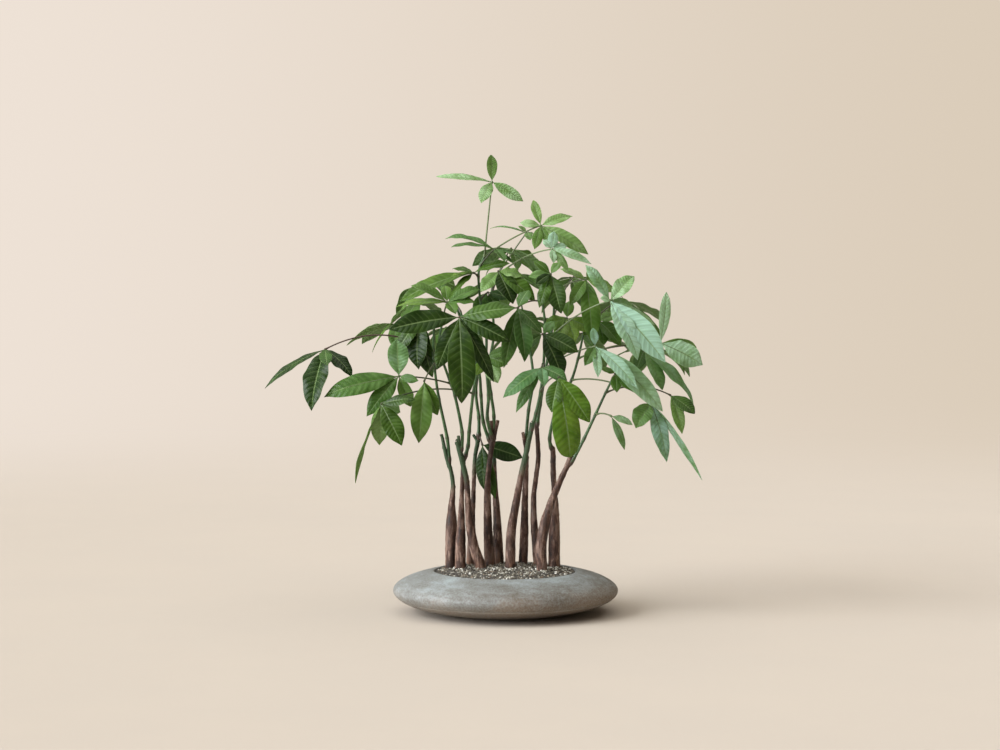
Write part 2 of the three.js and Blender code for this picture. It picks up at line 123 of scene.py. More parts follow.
def apply_modifier(piece, kind, **settings):
    """Adds a modifier with its settings and applies it to the mesh."""
    take_up(piece)
    bpy.ops.object.modifier_add(type=kind)
    modifier = piece.modifiers[-1]
    for name, value in settings.items():
        setattr(modifier, name, value)
    bpy.ops.object.modifier_apply(modifier=modifier.name)


def oval_height(radius):
    """Height of the dish's oval above or below its widest place."""
    return dish_half_height * math.sqrt(1 - (radius / dish_radius) ** 2)


dish_middle = oval_height(dish_foot_radius)
lip_height = dish_middle + oval_height(opening_radius + lip_width)

dish = new_piece(
    bpy.ops.mesh.primitive_uv_sphere_add, segments=dish_segments, ring_count=dish_rings,
    radius=dish_radius, location=(0, 0, dish_middle))
dish.name = "cast_dish"
bpy.ops.object.transform_apply(location=True, rotation=True, scale=True)
edit_all()
resize_selected(1, 1, dish_half_height / dish_radius, dish_middle)
ring_heights = [dish_middle - dish_half_height * math.sin(math.pi * ring / dish_rings)
                for ring in range(dish_rings // 2)]
groove_ring = min(range(dish_rings // 2), key=lambda ring: abs(ring_heights[ring] - joint_height))
for ring, growth in ((groove_ring, -joint_groove), (groove_ring + 1, joint_ridge)):
    select_parts("verts", lambda vert: abs(vert.co.z - ring_heights[ring]) < 0.1 * MM)
    share = 1 + growth / dish_radius
    resize_selected(share, share, 1, dish_middle)
bpy.ops.object.mode_set(mode="OBJECT")

hand_cast = bpy.data.textures.new("hand_cast", "CLOUDS")
hand_cast.noise_scale = 55 * MM
hand_cast.noise_depth = 3
apply_modifier(
    dish, "DISPLACE", texture=hand_cast, texture_coords="LOCAL", strength=dish_unevenness)

edit_all()
bpy.ops.mesh.bisect(plane_co=(0, 0, 0), plane_no=(0, 0, 1), use_fill=True, clear_inner=True)
bpy.ops.mesh.select_all(action="SELECT")
bpy.ops.mesh.bisect(
    plane_co=(0, 0, lip_height), plane_no=(0, 0, 1), use_fill=True, clear_outer=True)
select_parts("faces", lambda face: len(face.verts) > 8
             and face.calc_center_median().z > dish_middle)
bpy.ops.mesh.inset(thickness=lip_width, depth=-lip_fall)
bpy.ops.mesh.extrude_region_move(
    TRANSFORM_OT_translate={"value": (0, 0, dish_floor - lip_height + lip_fall)})
inner_share = (opening_radius - wall_taper) / opening_radius
resize_selected(inner_share, inner_share, 1)


def on_ring(edge, radius, low, high):
    """Whether an edge runs round the dish near a radius, between two heights."""
    ends = [Vector(vert.co[:2]).length for vert in edge.verts]
    level = [vert.co.z for vert in edge.verts]
    return max(abs(end - radius) for end in ends) < 1.2 * MM and low < min(level) \
        and max(level) < high and abs(level[0] - level[1]) < 0.1 * MM


select_parts("edges", lambda edge: on_ring(
    edge, opening_radius + lip_width, lip_height - 0.1 * MM, 1) or on_ring(
    edge, opening_radius, lip_height - 1 * MM, lip_height - 0.2 * MM))
bpy.ops.mesh.bevel(offset=lip_rounding, segments=3)
select_parts("edges", lambda edge: on_ring(edge, dish_foot_radius, -1, 0.05 * MM))
bpy.ops.mesh.bevel(offset=foot_rounding, segments=3)
select_parts("verts", lambda vert: vert.co.z < 0)
resize_selected(1, 1, 0)
bpy.ops.object.mode_set(mode="OBJECT")
bpy.ops.object.shade_smooth_by_angle(angle=math.radians(35))


def new_material(name):
    """A node material: itself, its node tree and its Principled shader."""
    material = bpy.data.materials.new(name)
    material.use_nodes = True
    return material, material.node_tree, material.node_tree.nodes["Principled BSDF"]


def set_inputs(node, inputs):
    """Fills a node's inputs: a socket is linked, three numbers are a colour, the rest a value."""
    for key, value in inputs.items():
        if isinstance(value, bpy.types.NodeSocket):
            node.id_data.links.new(value, node.inputs[key])
        elif node.inputs[key].type == "RGBA":
            node.inputs[key].default_value = (*value, 1)
        else:
            node.inputs[key].default_value = value


def add_node(tree, kind, inputs=None, **settings):
    """Adds a shader node with its settings and inputs."""
    node = tree.nodes.new("ShaderNode" + kind)
    for name, value in settings.items():
        setattr(node, name, value)
    set_inputs(node, inputs or {})
    return node


def next_node(kind, inputs, **settings):
    """Adds a shader node to the tree that its linked inputs come from."""
    tree = next(value.id_data for value in inputs.values()
                if isinstance(value, bpy.types.NodeSocket))
    return add_node(tree, kind, inputs, **settings)


def shaped(value, low, high, start=0.0, end=1.0):
    """A value that goes softly from start to end as the given one goes from low to high."""
    inputs = {"Value": value, "From Min": low, "From Max": high, "To Min": start, "To Max": end}
    return next_node("MapRange", inputs, interpolation_type="SMOOTHSTEP").outputs["Result"]


def maths(operation, *values):
    """The result of a Math node."""
    return next_node("Math", dict(enumerate(values)), operation=operation).outputs[0]


def times(first, second):
    """The product of two values."""
    return maths("MULTIPLY", first, second)


def axis_of(vector, axis):
    """One of a vector's three numbers."""
    return next_node("SeparateXYZ", {"Vector": vector}).outputs[axis]


def painted(tree, name):
    """The number that a mesh's attribute holds."""
    return add_node(tree, "Attribute", attribute_name=name).outputs["Fac"]


def mixed(share, first, second, blend="MIX"):
    """Two colours mixed by a share."""
    inputs = {0: share, 6: first, 7: second}
    return next_node("Mix", inputs, data_type="RGBA", blend_type=blend).outputs[2]


def layered(colour, *layers):
    """A colour with others laid over it in turn, each by its own share."""
    for share, over in layers:
        colour = mixed(share, colour, over)
    return colour


def coloured(value, stops, interpolation="LINEAR"):
    """A colour picked from a ramp of (place, colour) stops."""
    ramp = next_node("ValToRGB", {"Fac": value})
    ramp.color_ramp.interpolation = interpolation
    elements = ramp.color_ramp.elements
    while len(elements) < len(stops):
        elements.new(1)
    for element, (place, colour) in zip(elements, stops):
        element.position = place
        element.color = (*colour, 1)
    return ramp.outputs["Color"]


def object_place(tree, stretch=(1, 1, 1)):
    """Object coordinates, stretched along the axes."""
    place = add_node(tree, "TexCoord").outputs["Object"]
    return add_node(tree, "Mapping", {"Vector": place, "Scale": stretch}).outputs["Vector"]


# Shared effect: uneven natural colour, as of stone, earth and bark.
mottle = bpy.data.node_groups.new("natural_mottle", "ShaderNodeTree")
mottle.interface.new_socket("Place", in_out="INPUT", socket_type="NodeSocketVector")
mottle.interface.new_socket("Fineness", in_out="INPUT", socket_type="NodeSocketFloat")
for output in ("Clouds", "Specks", "Height"):
    mottle.interface.new_socket(output, in_out="OUTPUT", socket_type="NodeSocketFloat")
given = mottle.nodes.new("NodeGroupInput").outputs
made = mottle.nodes.new("NodeGroupOutput")
broad = add_node(mottle, "TexNoise", {
    "Vector": given["Place"], "Scale": given["Fineness"], "Detail": 6.0, "Roughness": 0.62})
fine_scale = times(given["Fineness"], 9.0)
fine = add_node(mottle, "TexNoise", {
    "Vector": given["Place"], "Scale": fine_scale, "Detail": 4.0, "Roughness": 0.65})
spots = add_node(mottle, "TexVoronoi", {"Vector": given["Place"], "Scale": fine_scale})
spot_size = shaped(fine.outputs["Fac"], 0.42, 0.66, 0.0, 0.34)
specks = maths("SUBTRACT", spot_size, spots.outputs["Distance"])
set_inputs(made, {
    "Clouds": shaped(broad.outputs["Fac"], 0.3, 0.7),
    "Specks": shaped(specks, 0.0, 0.09),
    "Height": maths("ADD", times(broad.outputs["Fac"], 0.6), times(fine.outputs["Fac"], 0.4))})


def add_mottle(place, fineness):
    """The shared effect in a material, with its own coordinates and fineness."""
    return next_node("Group", {"Place": place, "Fineness": fineness}, node_tree=mottle).outputs


def set_finish(surface, colour, roughness, relief, specular=0.5):
    """Gives a Principled shader its look; relief is the bump's strength, depth and height."""
    strength, depth, height = relief
    bump = next_node("Bump", {"Strength": strength, "Distance": depth, "Height": height})
    set_inputs(surface, {
        "Base Color": colour, "Roughness": roughness, "Specular IOR Level": specular,
        "Normal": bump.outputs["Normal"]})


concrete, tree, surface = new_material("grey_concrete")
place = object_place(tree)
clouded = add_mottle(place, 9.0)
rubbed = add_mottle(object_place(tree, (1, 1, 5)), 34.0)
sandy = add_mottle(place, 290.0)
# The pinholes are painted dark as the shade inside them.
pitted = add_mottle(place, 46.0)
height = axis_of(place, "Z")
worn = maths("MULTIPLY_ADD", rubbed["Clouds"], 0.35, times(clouded["Clouds"], 0.65))
# Painted shade: the concrete darkens in drifting clouds towards the right side, which faces away
# from the broad light, and on the lower body.
drifted = maths("MULTIPLY_ADD", clouded["Clouds"], shade_drift, axis_of(place, "X"))
painted_shade_share = times(shaped(drifted, -shade_edge, shade_edge, 0.1, 0.92),
                shaped(height, *shade_heights, 1.0, 0.1))
painted_shade_share = times(painted_shade_share, shaped(rubbed["Clouds"], 0.0, 0.9, 1.0, 0.65))
# The lower body turns browner towards the foot, below a wavy line. This is partly the concrete's
# own tone and partly painted shade and warm bounce light.
wavy = maths("MULTIPLY_ADD", clouded["Clouds"], -26 * MM, height)
below_joint = maths("SUBTRACT", joint_height, height)
# A paler band just below the joint's groove, over the ridge.
groove_pale_band = times(shaped(below_joint, -0.4 * MM, 0.8 * MM),
              shaped(below_joint, 1.4 * MM, 4.5 * MM, 1.0, 0.0))
groove_pale_band = times(groove_pale_band, shaped(rubbed["Clouds"], 0.1, 0.7, 0.2, 0.75))
# The dark line along the joint's groove is painted shade, as under a small overhang.
from_groove = maths("ABSOLUTE", maths("ADD", below_joint, 0.5 * MM))
colour = layered(
    coloured(worn, [(0.1, concrete_dark), (0.45, concrete_grey), (0.9, concrete_pale)]),
    (painted_shade_share, concrete_painted_shade),
    (shaped(wavy, 0.0, brown_shade_height, 0.85, 0.0), brown_and_painted_shade),
    (groove_pale_band, concrete_band_pale),
    (shaped(from_groove, 0.2 * MM, 1.1 * MM, 0.55, 0.0), concrete_dark),
    (shaped(sandy["Height"], 0.42, 0.62, 0.0, 0.34), concrete_pale),
    (shaped(sandy["Height"], 0.34, 0.50, 0.45, 0.0), concrete_dark),
    (times(sandy["Specks"], 0.6), concrete_dark),
    (times(pitted["Specks"], 0.6), pinhole_dark))
grain_height = maths(
    "SUBTRACT", maths("ADD", sandy["Height"], rubbed["Height"]), times(pitted["Specks"], 1.5))
set_finish(surface, colour, shaped(clouded["Clouds"], 0.0, 1.0, 0.55, 0.75),
           (0.5, 0.6 * MM, grain_height), specular=0.45)
dish.data.materials.append(concrete)
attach(dish, "root")
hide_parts("planter")


# Growing mix.
# Dark peat and bark compost that fills the dish under the grit. It hardly shows, and its CAD solid
# is right as it is, so it gets its finish alone.
mix_dark = (0.018, 0.012, 0.008)
mix_light = (0.085, 0.058, 0.038)

growing_mix, tree, surface = new_material("growing_mix")
crumbs = add_mottle(object_place(tree), 140.0)
colour = layered(coloured(crumbs["Clouds"], [(0.0, mix_dark), (1.0, mix_light)]),
                 (times(crumbs["Specks"], 0.6), mix_light))
set_finish(surface, colour, 0.95, (0.8, 1 * MM, crumbs["Height"]))
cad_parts["soil"].material_slots[0].material = growing_mix


# Trunks.
# Eleven young trunks, swollen at the foot, with thin grey-brown bark that is rusty at the foot and
# green where it is youngest. Old stalk scars and cut stubs stand out, and pores dot the bark.

# In millimetres: each axis as (x, y, z, radius) points up from the grit, each cut stub as its
# start, end and radius, and the height from which the bark is green.
trunk_rows = [
    ([(-94, 30, 74, 9.3), (-93, 30, 138, 10), (-92, 30, 183, 5.6), (-90, 30, 213, 3.9),
      (-94, 30, 240, 3.7), (-101, 30, 262, 3.6), (-110, 31, 302, 2.6)], [], 205),
    ([(-77, 5, 74, 9.3), (-77, 5, 110, 9), (-76, 5, 140, 7.5), (-75, 6, 188, 4.3),
      (-73, 6, 240, 3.6), (-71, 6, 268, 3.8)], [], 262),
    ([(-42, -2, 74, 9.5), (-54, -2, 113, 8.2), (-61, -3, 151, 7), (-64, -4, 188, 5.2),
      (-66, -4, 223, 4.6), (-72, -4, 251, 4.5), (-80, -4, 284, 4.6), (-83, -4, 293, 4.2)],
     [((-79, -4, 280), (-80, -6, 302), 2.6)], 228),
    ([(-60, 64, 74, 8), (-58, 62, 120, 7), (-57, 60, 159, 4.6), (-55, 60, 201, 4),
      (-54, 60, 231, 3.8), (-52, 60, 263, 3.6), (-47, 60, 290, 3.6)],
     [((-47, 60, 286), (-56, 62, 299), 2.2)], 240),
    ([(-27, 42, 74, 9.3), (-30, 40, 138, 7.6), (-31, 38, 188, 6.2), (-30, 35, 225, 4.8),
      (-26, 33, 263, 4.4), (-22, 31, 291, 5), (-20, 31, 304, 4)],
     [((-21, 31, 290), (-25, 32, 325), 3), ((-21, 31, 290), (-13, 30, 326), 3)], 400),
    ([(-12, 64, 74, 9), (-13, 66, 113, 8.2), (-15, 68, 163, 6.4), (-18, 71, 210, 4.6),
      (-20, 73, 256, 4), (-21, 74, 272, 4)], [], 240),
    ([(8, -2, 74, 8.8), (10, -2, 138, 8), (20, -2, 198, 6), (28, -2, 239, 5), (36, -2, 276, 4.6),
      (44, -2, 313, 4.2), (46, -2, 325, 4.6)], [], 242),
    ([(31, 76, 74, 8), (33, 74, 138, 7), (34, 71, 188, 5.4), (36, 68, 239, 4.2), (36, 66, 272, 4)],
     [((36, 66, 270), (30, 62, 303), 2.8)], 400),
    ([(56, 58, 74, 7.5), (50, 64, 138, 6), (49, 68, 188, 4.6), (53, 70, 223, 4.1),
      (57, 70, 258, 4), (55, 70, 298, 3.8), (53, 70, 319, 3.6)], [], 400),
    ([(62, -28, 74, 9), (60, -28, 113, 9.6), (66, -28, 151, 8.8), (76, -28, 186, 6.6),
      (88, -28, 216, 5.5), (100, -28, 243, 4.6), (106, -28, 256, 4.6), (114, -27, 284, 3)],
     [], 400),
    ([(84, 36, 74, 10), (84, 37, 138, 9.8), (84, 38, 172, 8), (84, 39, 201, 5), (82, 40, 239, 4.9),
      (82, 40, 268, 4.5), (80, 40, 280, 4.2)], [], 400),
]
trunk_foot = 44
trunk_foot_taper = 0.85
stub_taper = 1.1
trunk_sides = 28
trunk_steps = 16
stub_steps = 8
scars_to_trunk = 9
scar_sizes = (1.5, 2.6)
scar_rises = (0.5, 1.0)
scar_spread = 0.62
green_drift = 14
green_range = (-14, 16)
bark_shade = (0.020, 0.009, 0.006)
bark_brown = (0.080, 0.037, 0.024)
bark_grey = (0.300, 0.200, 0.158)
bark_rust = (0.240, 0.120, 0.066)
bark_green = (0.034, 0.078, 0.032)
scar_brown = (0.015, 0.009, 0.007)
lenticel_pale = (0.300, 0.220, 0.170)
cut_wood = (0.100, 0.066, 0.042)


def smooth_path(points, steps):
    """A smooth line through given points, with so many steps from each to the next."""
    rows = [Vector(point) for point in points]
    rows = [2 * rows[0] - rows[1], *rows, 2 * rows[-1] - rows[-2]]
    path = []
    for a, b, c, d in zip(rows, rows[1:], rows[2:], rows[3:]):
        for step in range(steps):
            t = step / steps
            path.append(0.5 * (2 * b + (c - a) * t + (2 * a - 5 * b + 4 * c - d) * t ** 2
                               + (3 * b - a - 3 * c + d) * t ** 3))
    return path + [rows[-2]]


def round_end(path, length=0.8, share=0.72):
    """Turns the end of a rod in a little, so that its cut edge isn't sharp."""
    last = path[-1]
    inward = (Vector(path[-2][:3]) - Vector(last[:3])).normalized() * length
    shoulder = Vector((*(Vector(last[:3]) + inward), last[3]))
    return [*path[:-1], shoulder, Vector((*last[:3], last[3] * share))]


def add_rods(name, runs, sides):
    """One mesh of round closed rods, each from a run of (x, y, z, radius) points in millimetres.
    Its vertices go run by run, then ring by ring, and each ring has so many sides."""
    piece = new_piece(bpy.ops.curve.primitive_bezier_curve_add)
    piece.name = name
    piece.data.splines.clear()
    piece.data.dimensions = "3D"
    piece.data.twist_mode = "MINIMUM"
    piece.data.bevel_depth = MM
    piece.data.bevel_resolution = (sides - 4) // 2
    for run in runs:
        spline = piece.data.splines.new("POLY")
        spline.points.add(len(run) - 1)
        for point, (x, y, z, radius) in zip(spline.points, run):
            point.co = (x * MM, y * MM, z * MM, 1)
            point.radius = radius
    bpy.ops.object.convert(target="MESH")
    edit_all()
    bpy.ops.mesh.fill_holes(sides=0)
    bpy.ops.mesh.normals_make_consistent(inside=False)
    bpy.ops.object.mode_set(mode="OBJECT")
    return bpy.context.object


def set_attribute(mesh, name, values):
    """Writes one number for each vertex, which materials read as an attribute."""
    layer = mesh.attributes.get(name) or mesh.attributes.new(name, "FLOAT", "POINT")
    layer.data.foreach_set("value", np.asarray(values, np.float32))


def soft_step(value, low, high):
    """0 below low, 1 above high and smooth between."""
    t = min(max((value - low) / (high - low), 0), 1)
    return t * t * (3 - 2 * t)


young_bark, tree, surface = new_material("young_bark")
drawn = add_mottle(object_place(tree, (1, 1, 0.22)), 150.0)
patches = add_mottle(object_place(tree, (1, 1, 0.4)), 62.0)
dots = add_mottle(object_place(tree, (1, 1, 1.6)), 60.0)
pale_dots = add_mottle(object_place(tree, (1, 1, 2.2)), 95.0)
ragged = maths("ADD", axis_of(object_place(tree), "Z"), times(drawn["Clouds"], -34 * MM))
rusty = times(shaped(ragged, 50 * MM, 84 * MM, 1.0, 0.0), shaped(patches["Clouds"], 0.35, 0.9))
# The darkest bark colour, at the dark end of the streaks and in the long dark patches, is painted
# shade, standing in for the shaded sides of the trunks.
colour = layered(
    coloured(drawn["Clouds"], [
        (0.1, bark_shade), (0.4, bark_brown), (0.7, bark_brown), (0.95, bark_grey)]),
    (shaped(patches["Clouds"], 0.45, 1.0, 0.0, 0.5), bark_grey),
    (shaped(patches["Clouds"], 0.1, 0.5, 0.7, 0.0), bark_shade),
    (times(rusty, 0.7), bark_rust),
    (painted(tree, "bark_green"), bark_green),
    (times(pale_dots["Specks"], 0.55), lenticel_pale),
    (times(dots["Specks"], 0.85), scar_brown),
    (painted(tree, "bark_scar"), scar_brown),
    (painted(tree, "bark_cut"), cut_wood))
rough = maths("SUBTRACT", drawn["Height"], times(dots["Specks"], 0.6))
set_finish(surface, colour, shaped(drawn["Clouds"], 0.0, 1.0, 0.5, 0.72),
           (0.85, 1.2 * MM, rough), specular=0.4)

for number, (axis, stubs, green_from) in enumerate(trunk_rows, 1):
    chance = random.Random(number)
    x, y, _, radius = axis[0]
    buried = (x, y, trunk_foot, radius * trunk_foot_taper)
    runs = [round_end(smooth_path([buried, *axis], trunk_steps))]
    for start, end, radius in stubs:
        middle = (Vector(start) + Vector(end)) / 2
        runs.append(round_end(smooth_path([
            (*start, radius * stub_taper), (*middle, radius * stub_taper), (*end, radius)],
            stub_steps)))
    trunk = add_rods(f"barked_trunk_{number:02d}", runs, trunk_sides)

    # Scars: small raised knobs where stalks dropped off, closer together towards the top.
    scars = []
    for _ in range(scars_to_trunk):
        ring = runs[0][int(len(runs[0]) * (1 - scar_spread * chance.random() ** 1.3)) - 1]
        turn = chance.uniform(0, 2 * math.pi)
        out = Vector((math.cos(turn), math.sin(turn), 0))
        scars.append((Vector(ring[:3]) + out * ring[3], chance.uniform(*scar_sizes),
                      chance.uniform(*scar_rises)))
    places, greens, darks, cuts = [], [], [], []
    vertices = trunk.data.vertices
    for run in runs:
        for ring, (x, y, z, radius) in enumerate(run):
            at_end = ring == len(run) - 1
            for _ in range(trunk_sides):
                spot = vertices[len(places)].co / MM
                out = (spot - Vector((x, y, z))).normalized()
                lumps = 0.50 * noise.noise(spot * 0.07 + Vector((number * 9, 0, 0)))
                lumps += 0.34 * noise.noise(Vector((spot.x * 0.5, spot.y * 0.5, spot.z * 0.13)))
                lumps += 0.24 * noise.noise(spot * 0.55)
                dark = 0
                for scar_place, size, rise in scars:
                    near = math.exp(-((spot - scar_place).length / size) ** 2)
                    lumps += rise * near
                    dark = max(dark, near)
                places.append((spot + out * lumps * (0.3 if at_end else 1)) * MM)
                ragged_z = z + green_drift * noise.noise(spot * 0.05)
                greens.append(0.9 * soft_step(ragged_z - green_from, *green_range))
                darks.append(0.85 * soft_step(dark, 0.35, 0.8))
                cuts.append(1.0 if at_end else 0.0)
    vertices.foreach_set("co", np.array(places).ravel())
    set_attribute(trunk.data, "bark_green", greens)
    set_attribute(trunk.data, "bark_scar", darks)
    set_attribute(trunk.data, "bark_cut", cuts)
    bpy.ops.object.shade_smooth_by_angle(angle=math.radians(40))
    trunk.data.materials.append(young_bark)
    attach(trunk, "root")
    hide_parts(f"trunk_{number:02d}")


# Grit.
# A layer of crushed stone, 3 to 5 mm, in beige, grey and rust, spread over the growing mix and a
# little heaped round the trunks. The bed under the grains is the CAD solid, painted dark as the
# shade between them, and the darkest grains are painted shade too.
grit_edge = 117.4
grit_top = lip_height / MM - 1
grit_heap = 5
grit_edge_drop = 2
grain_count = 2800
most_tries = 60000
grain_shapes = 6
grain_sizes = (3.0, 5.2)
grain_widths = (0.55, 0.85)
grain_depths = (0.45, 0.7)
grain_corner = 0.24
grain_roughness = 0.09
grain_tilt = 0.8
grain_scatter = 1.1
trunk_heap = 1.4
trunk_heap_reach = 7
# The nearly black first colour stands for painted shade in the gaps between grains; the others are
# the stones' own colours.
grit_colours_and_shade = [
    (0.00, (0.016, 0.013, 0.010)), (0.26, (0.075, 0.065, 0.049)), (0.42, (0.140, 0.122, 0.092)),
    (0.58, (0.255, 0.238, 0.190)), (0.70, (0.140, 0.090, 0.054)), (0.77, (0.440, 0.430, 0.370)),
    (0.90, (0.680, 0.670, 0.610))]
dust_pale = (0.30, 0.26, 0.21)
dust_dark = (0.07, 0.06, 0.05)
bed_dark = (0.020, 0.017, 0.014)
bed_light = (0.110, 0.100, 0.085)

mixed_grit, tree, surface = new_material("mixed_grit")
dust = add_mottle(object_place(tree), 260.0)
colour = layered(coloured(painted(tree, "grain_colour"), grit_colours_and_shade, "CONSTANT"),
                 (times(dust["Clouds"], 0.2), dust_pale), (times(dust["Specks"], 0.5), dust_dark))
set_finish(surface, colour, shaped(dust["Clouds"], 0.0, 1.0, 0.6, 0.85),
           (0.5, 0.4 * MM, dust["Height"]))

chance = random.Random(41)
grains = []
for number in range(grain_shapes):
    grain = new_piece(bpy.ops.mesh.primitive_cube_add, size=1)
    edit_all()
    bpy.ops.mesh.bevel(offset=grain_corner, segments=1)
    resize_selected(1, chance.uniform(*grain_widths), chance.uniform(*grain_depths))
    bpy.ops.object.mode_set(mode="OBJECT")
    for vert in grain.data.vertices:
        vert.co += Vector([chance.uniform(-grain_roughness, grain_roughness) for _ in range(3)])
    shape = bmesh.new()
    shape.from_mesh(grain.data)
    bmesh.ops.recalc_face_normals(shape, faces=shape.faces)
    shape.to_mesh(grain.data)
    shape.free()
    grains.append(grain)

grain_meshes = [grain.data for grain in grains]
corners = [np.array([vert.co for vert in mesh.vertices]) for mesh in grain_meshes]
faces = [[list(face.vertices) for face in mesh.polygons] for mesh in grain_meshes]
feet = [(axis[0][0], axis[0][1], axis[0][3]) for axis, _, _ in trunk_rows]
grains_laid = 0
all_corners, all_faces, all_tones = [], [], []
for _ in range(most_tries):
    size = chance.uniform(*grain_sizes)
    far = (grit_edge - 0.35 * size) * math.sqrt(chance.random())
    turn = chance.uniform(0, 2 * math.pi)
    x, y = far * math.cos(turn), far * math.sin(turn)
    nearest = min(math.hypot(x - foot_x, y - foot_y) - radius for foot_x, foot_y, radius in feet)
    if nearest < 0.3 * size:
        continue
    share = far / grit_edge
    bed = grit_top + grit_heap * (1 - share ** 2) - grit_edge_drop * share ** 10
    heaped = trunk_heap * math.exp(-nearest / trunk_heap_reach)
    z = bed + heaped + chance.uniform(-grain_scatter, grain_scatter) - 0.6 * share ** 6
    tilt = Matrix.Rotation(chance.uniform(0, 2 * math.pi), 3, "Z") \
        @ Matrix.Rotation(chance.gauss(0, grain_tilt), 3, "X") \
        @ Matrix.Rotation(chance.gauss(0, grain_tilt), 3, "Y")
    grains_laid += 1
    pick = grains_laid % grain_shapes
    moved = corners[pick] @ (np.array(tilt).T * size) + np.array((x, y, z))
    first = len(all_tones)
    all_corners.append(moved * MM)
    all_faces += [[corner + first for corner in face] for face in faces[pick]]
    all_tones += [chance.random()] * len(moved)
    if grains_laid == grain_count:
        break
grit = grains[0]
grit.name = "loose_grit"
grit.data = bpy.data.meshes.new("loose_grit")
grit.data.from_pydata(np.concatenate(all_corners).tolist(), [], all_faces)
for spare in grains[1:]:
    bpy.data.objects.remove(spare)
set_attribute(grit.data, "grain_colour", all_tones)
grit.data.materials.append(mixed_grit)
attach(grit, "root")

# The bed is painted dark, as the shade in the gaps between the grains.
shaded_bed_finish, tree, surface = new_material("grit_bed_shade")
speckle = add_node(tree, "TexVoronoi", {"Vector": object_place(tree), "Scale": 260.0})
pick = axis_of(speckle.outputs["Color"], "X")
colour = coloured(pick, [(0.0, bed_dark), (1.0, bed_light)])
set_finish(surface, colour, shaped(pick, 0.0, 1.0, 0.8, 0.95),
           (0.8, 1 * MM, speckle.outputs["Distance"]))
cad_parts["gravel"].material_slots[0].material = shaded_bed_finish
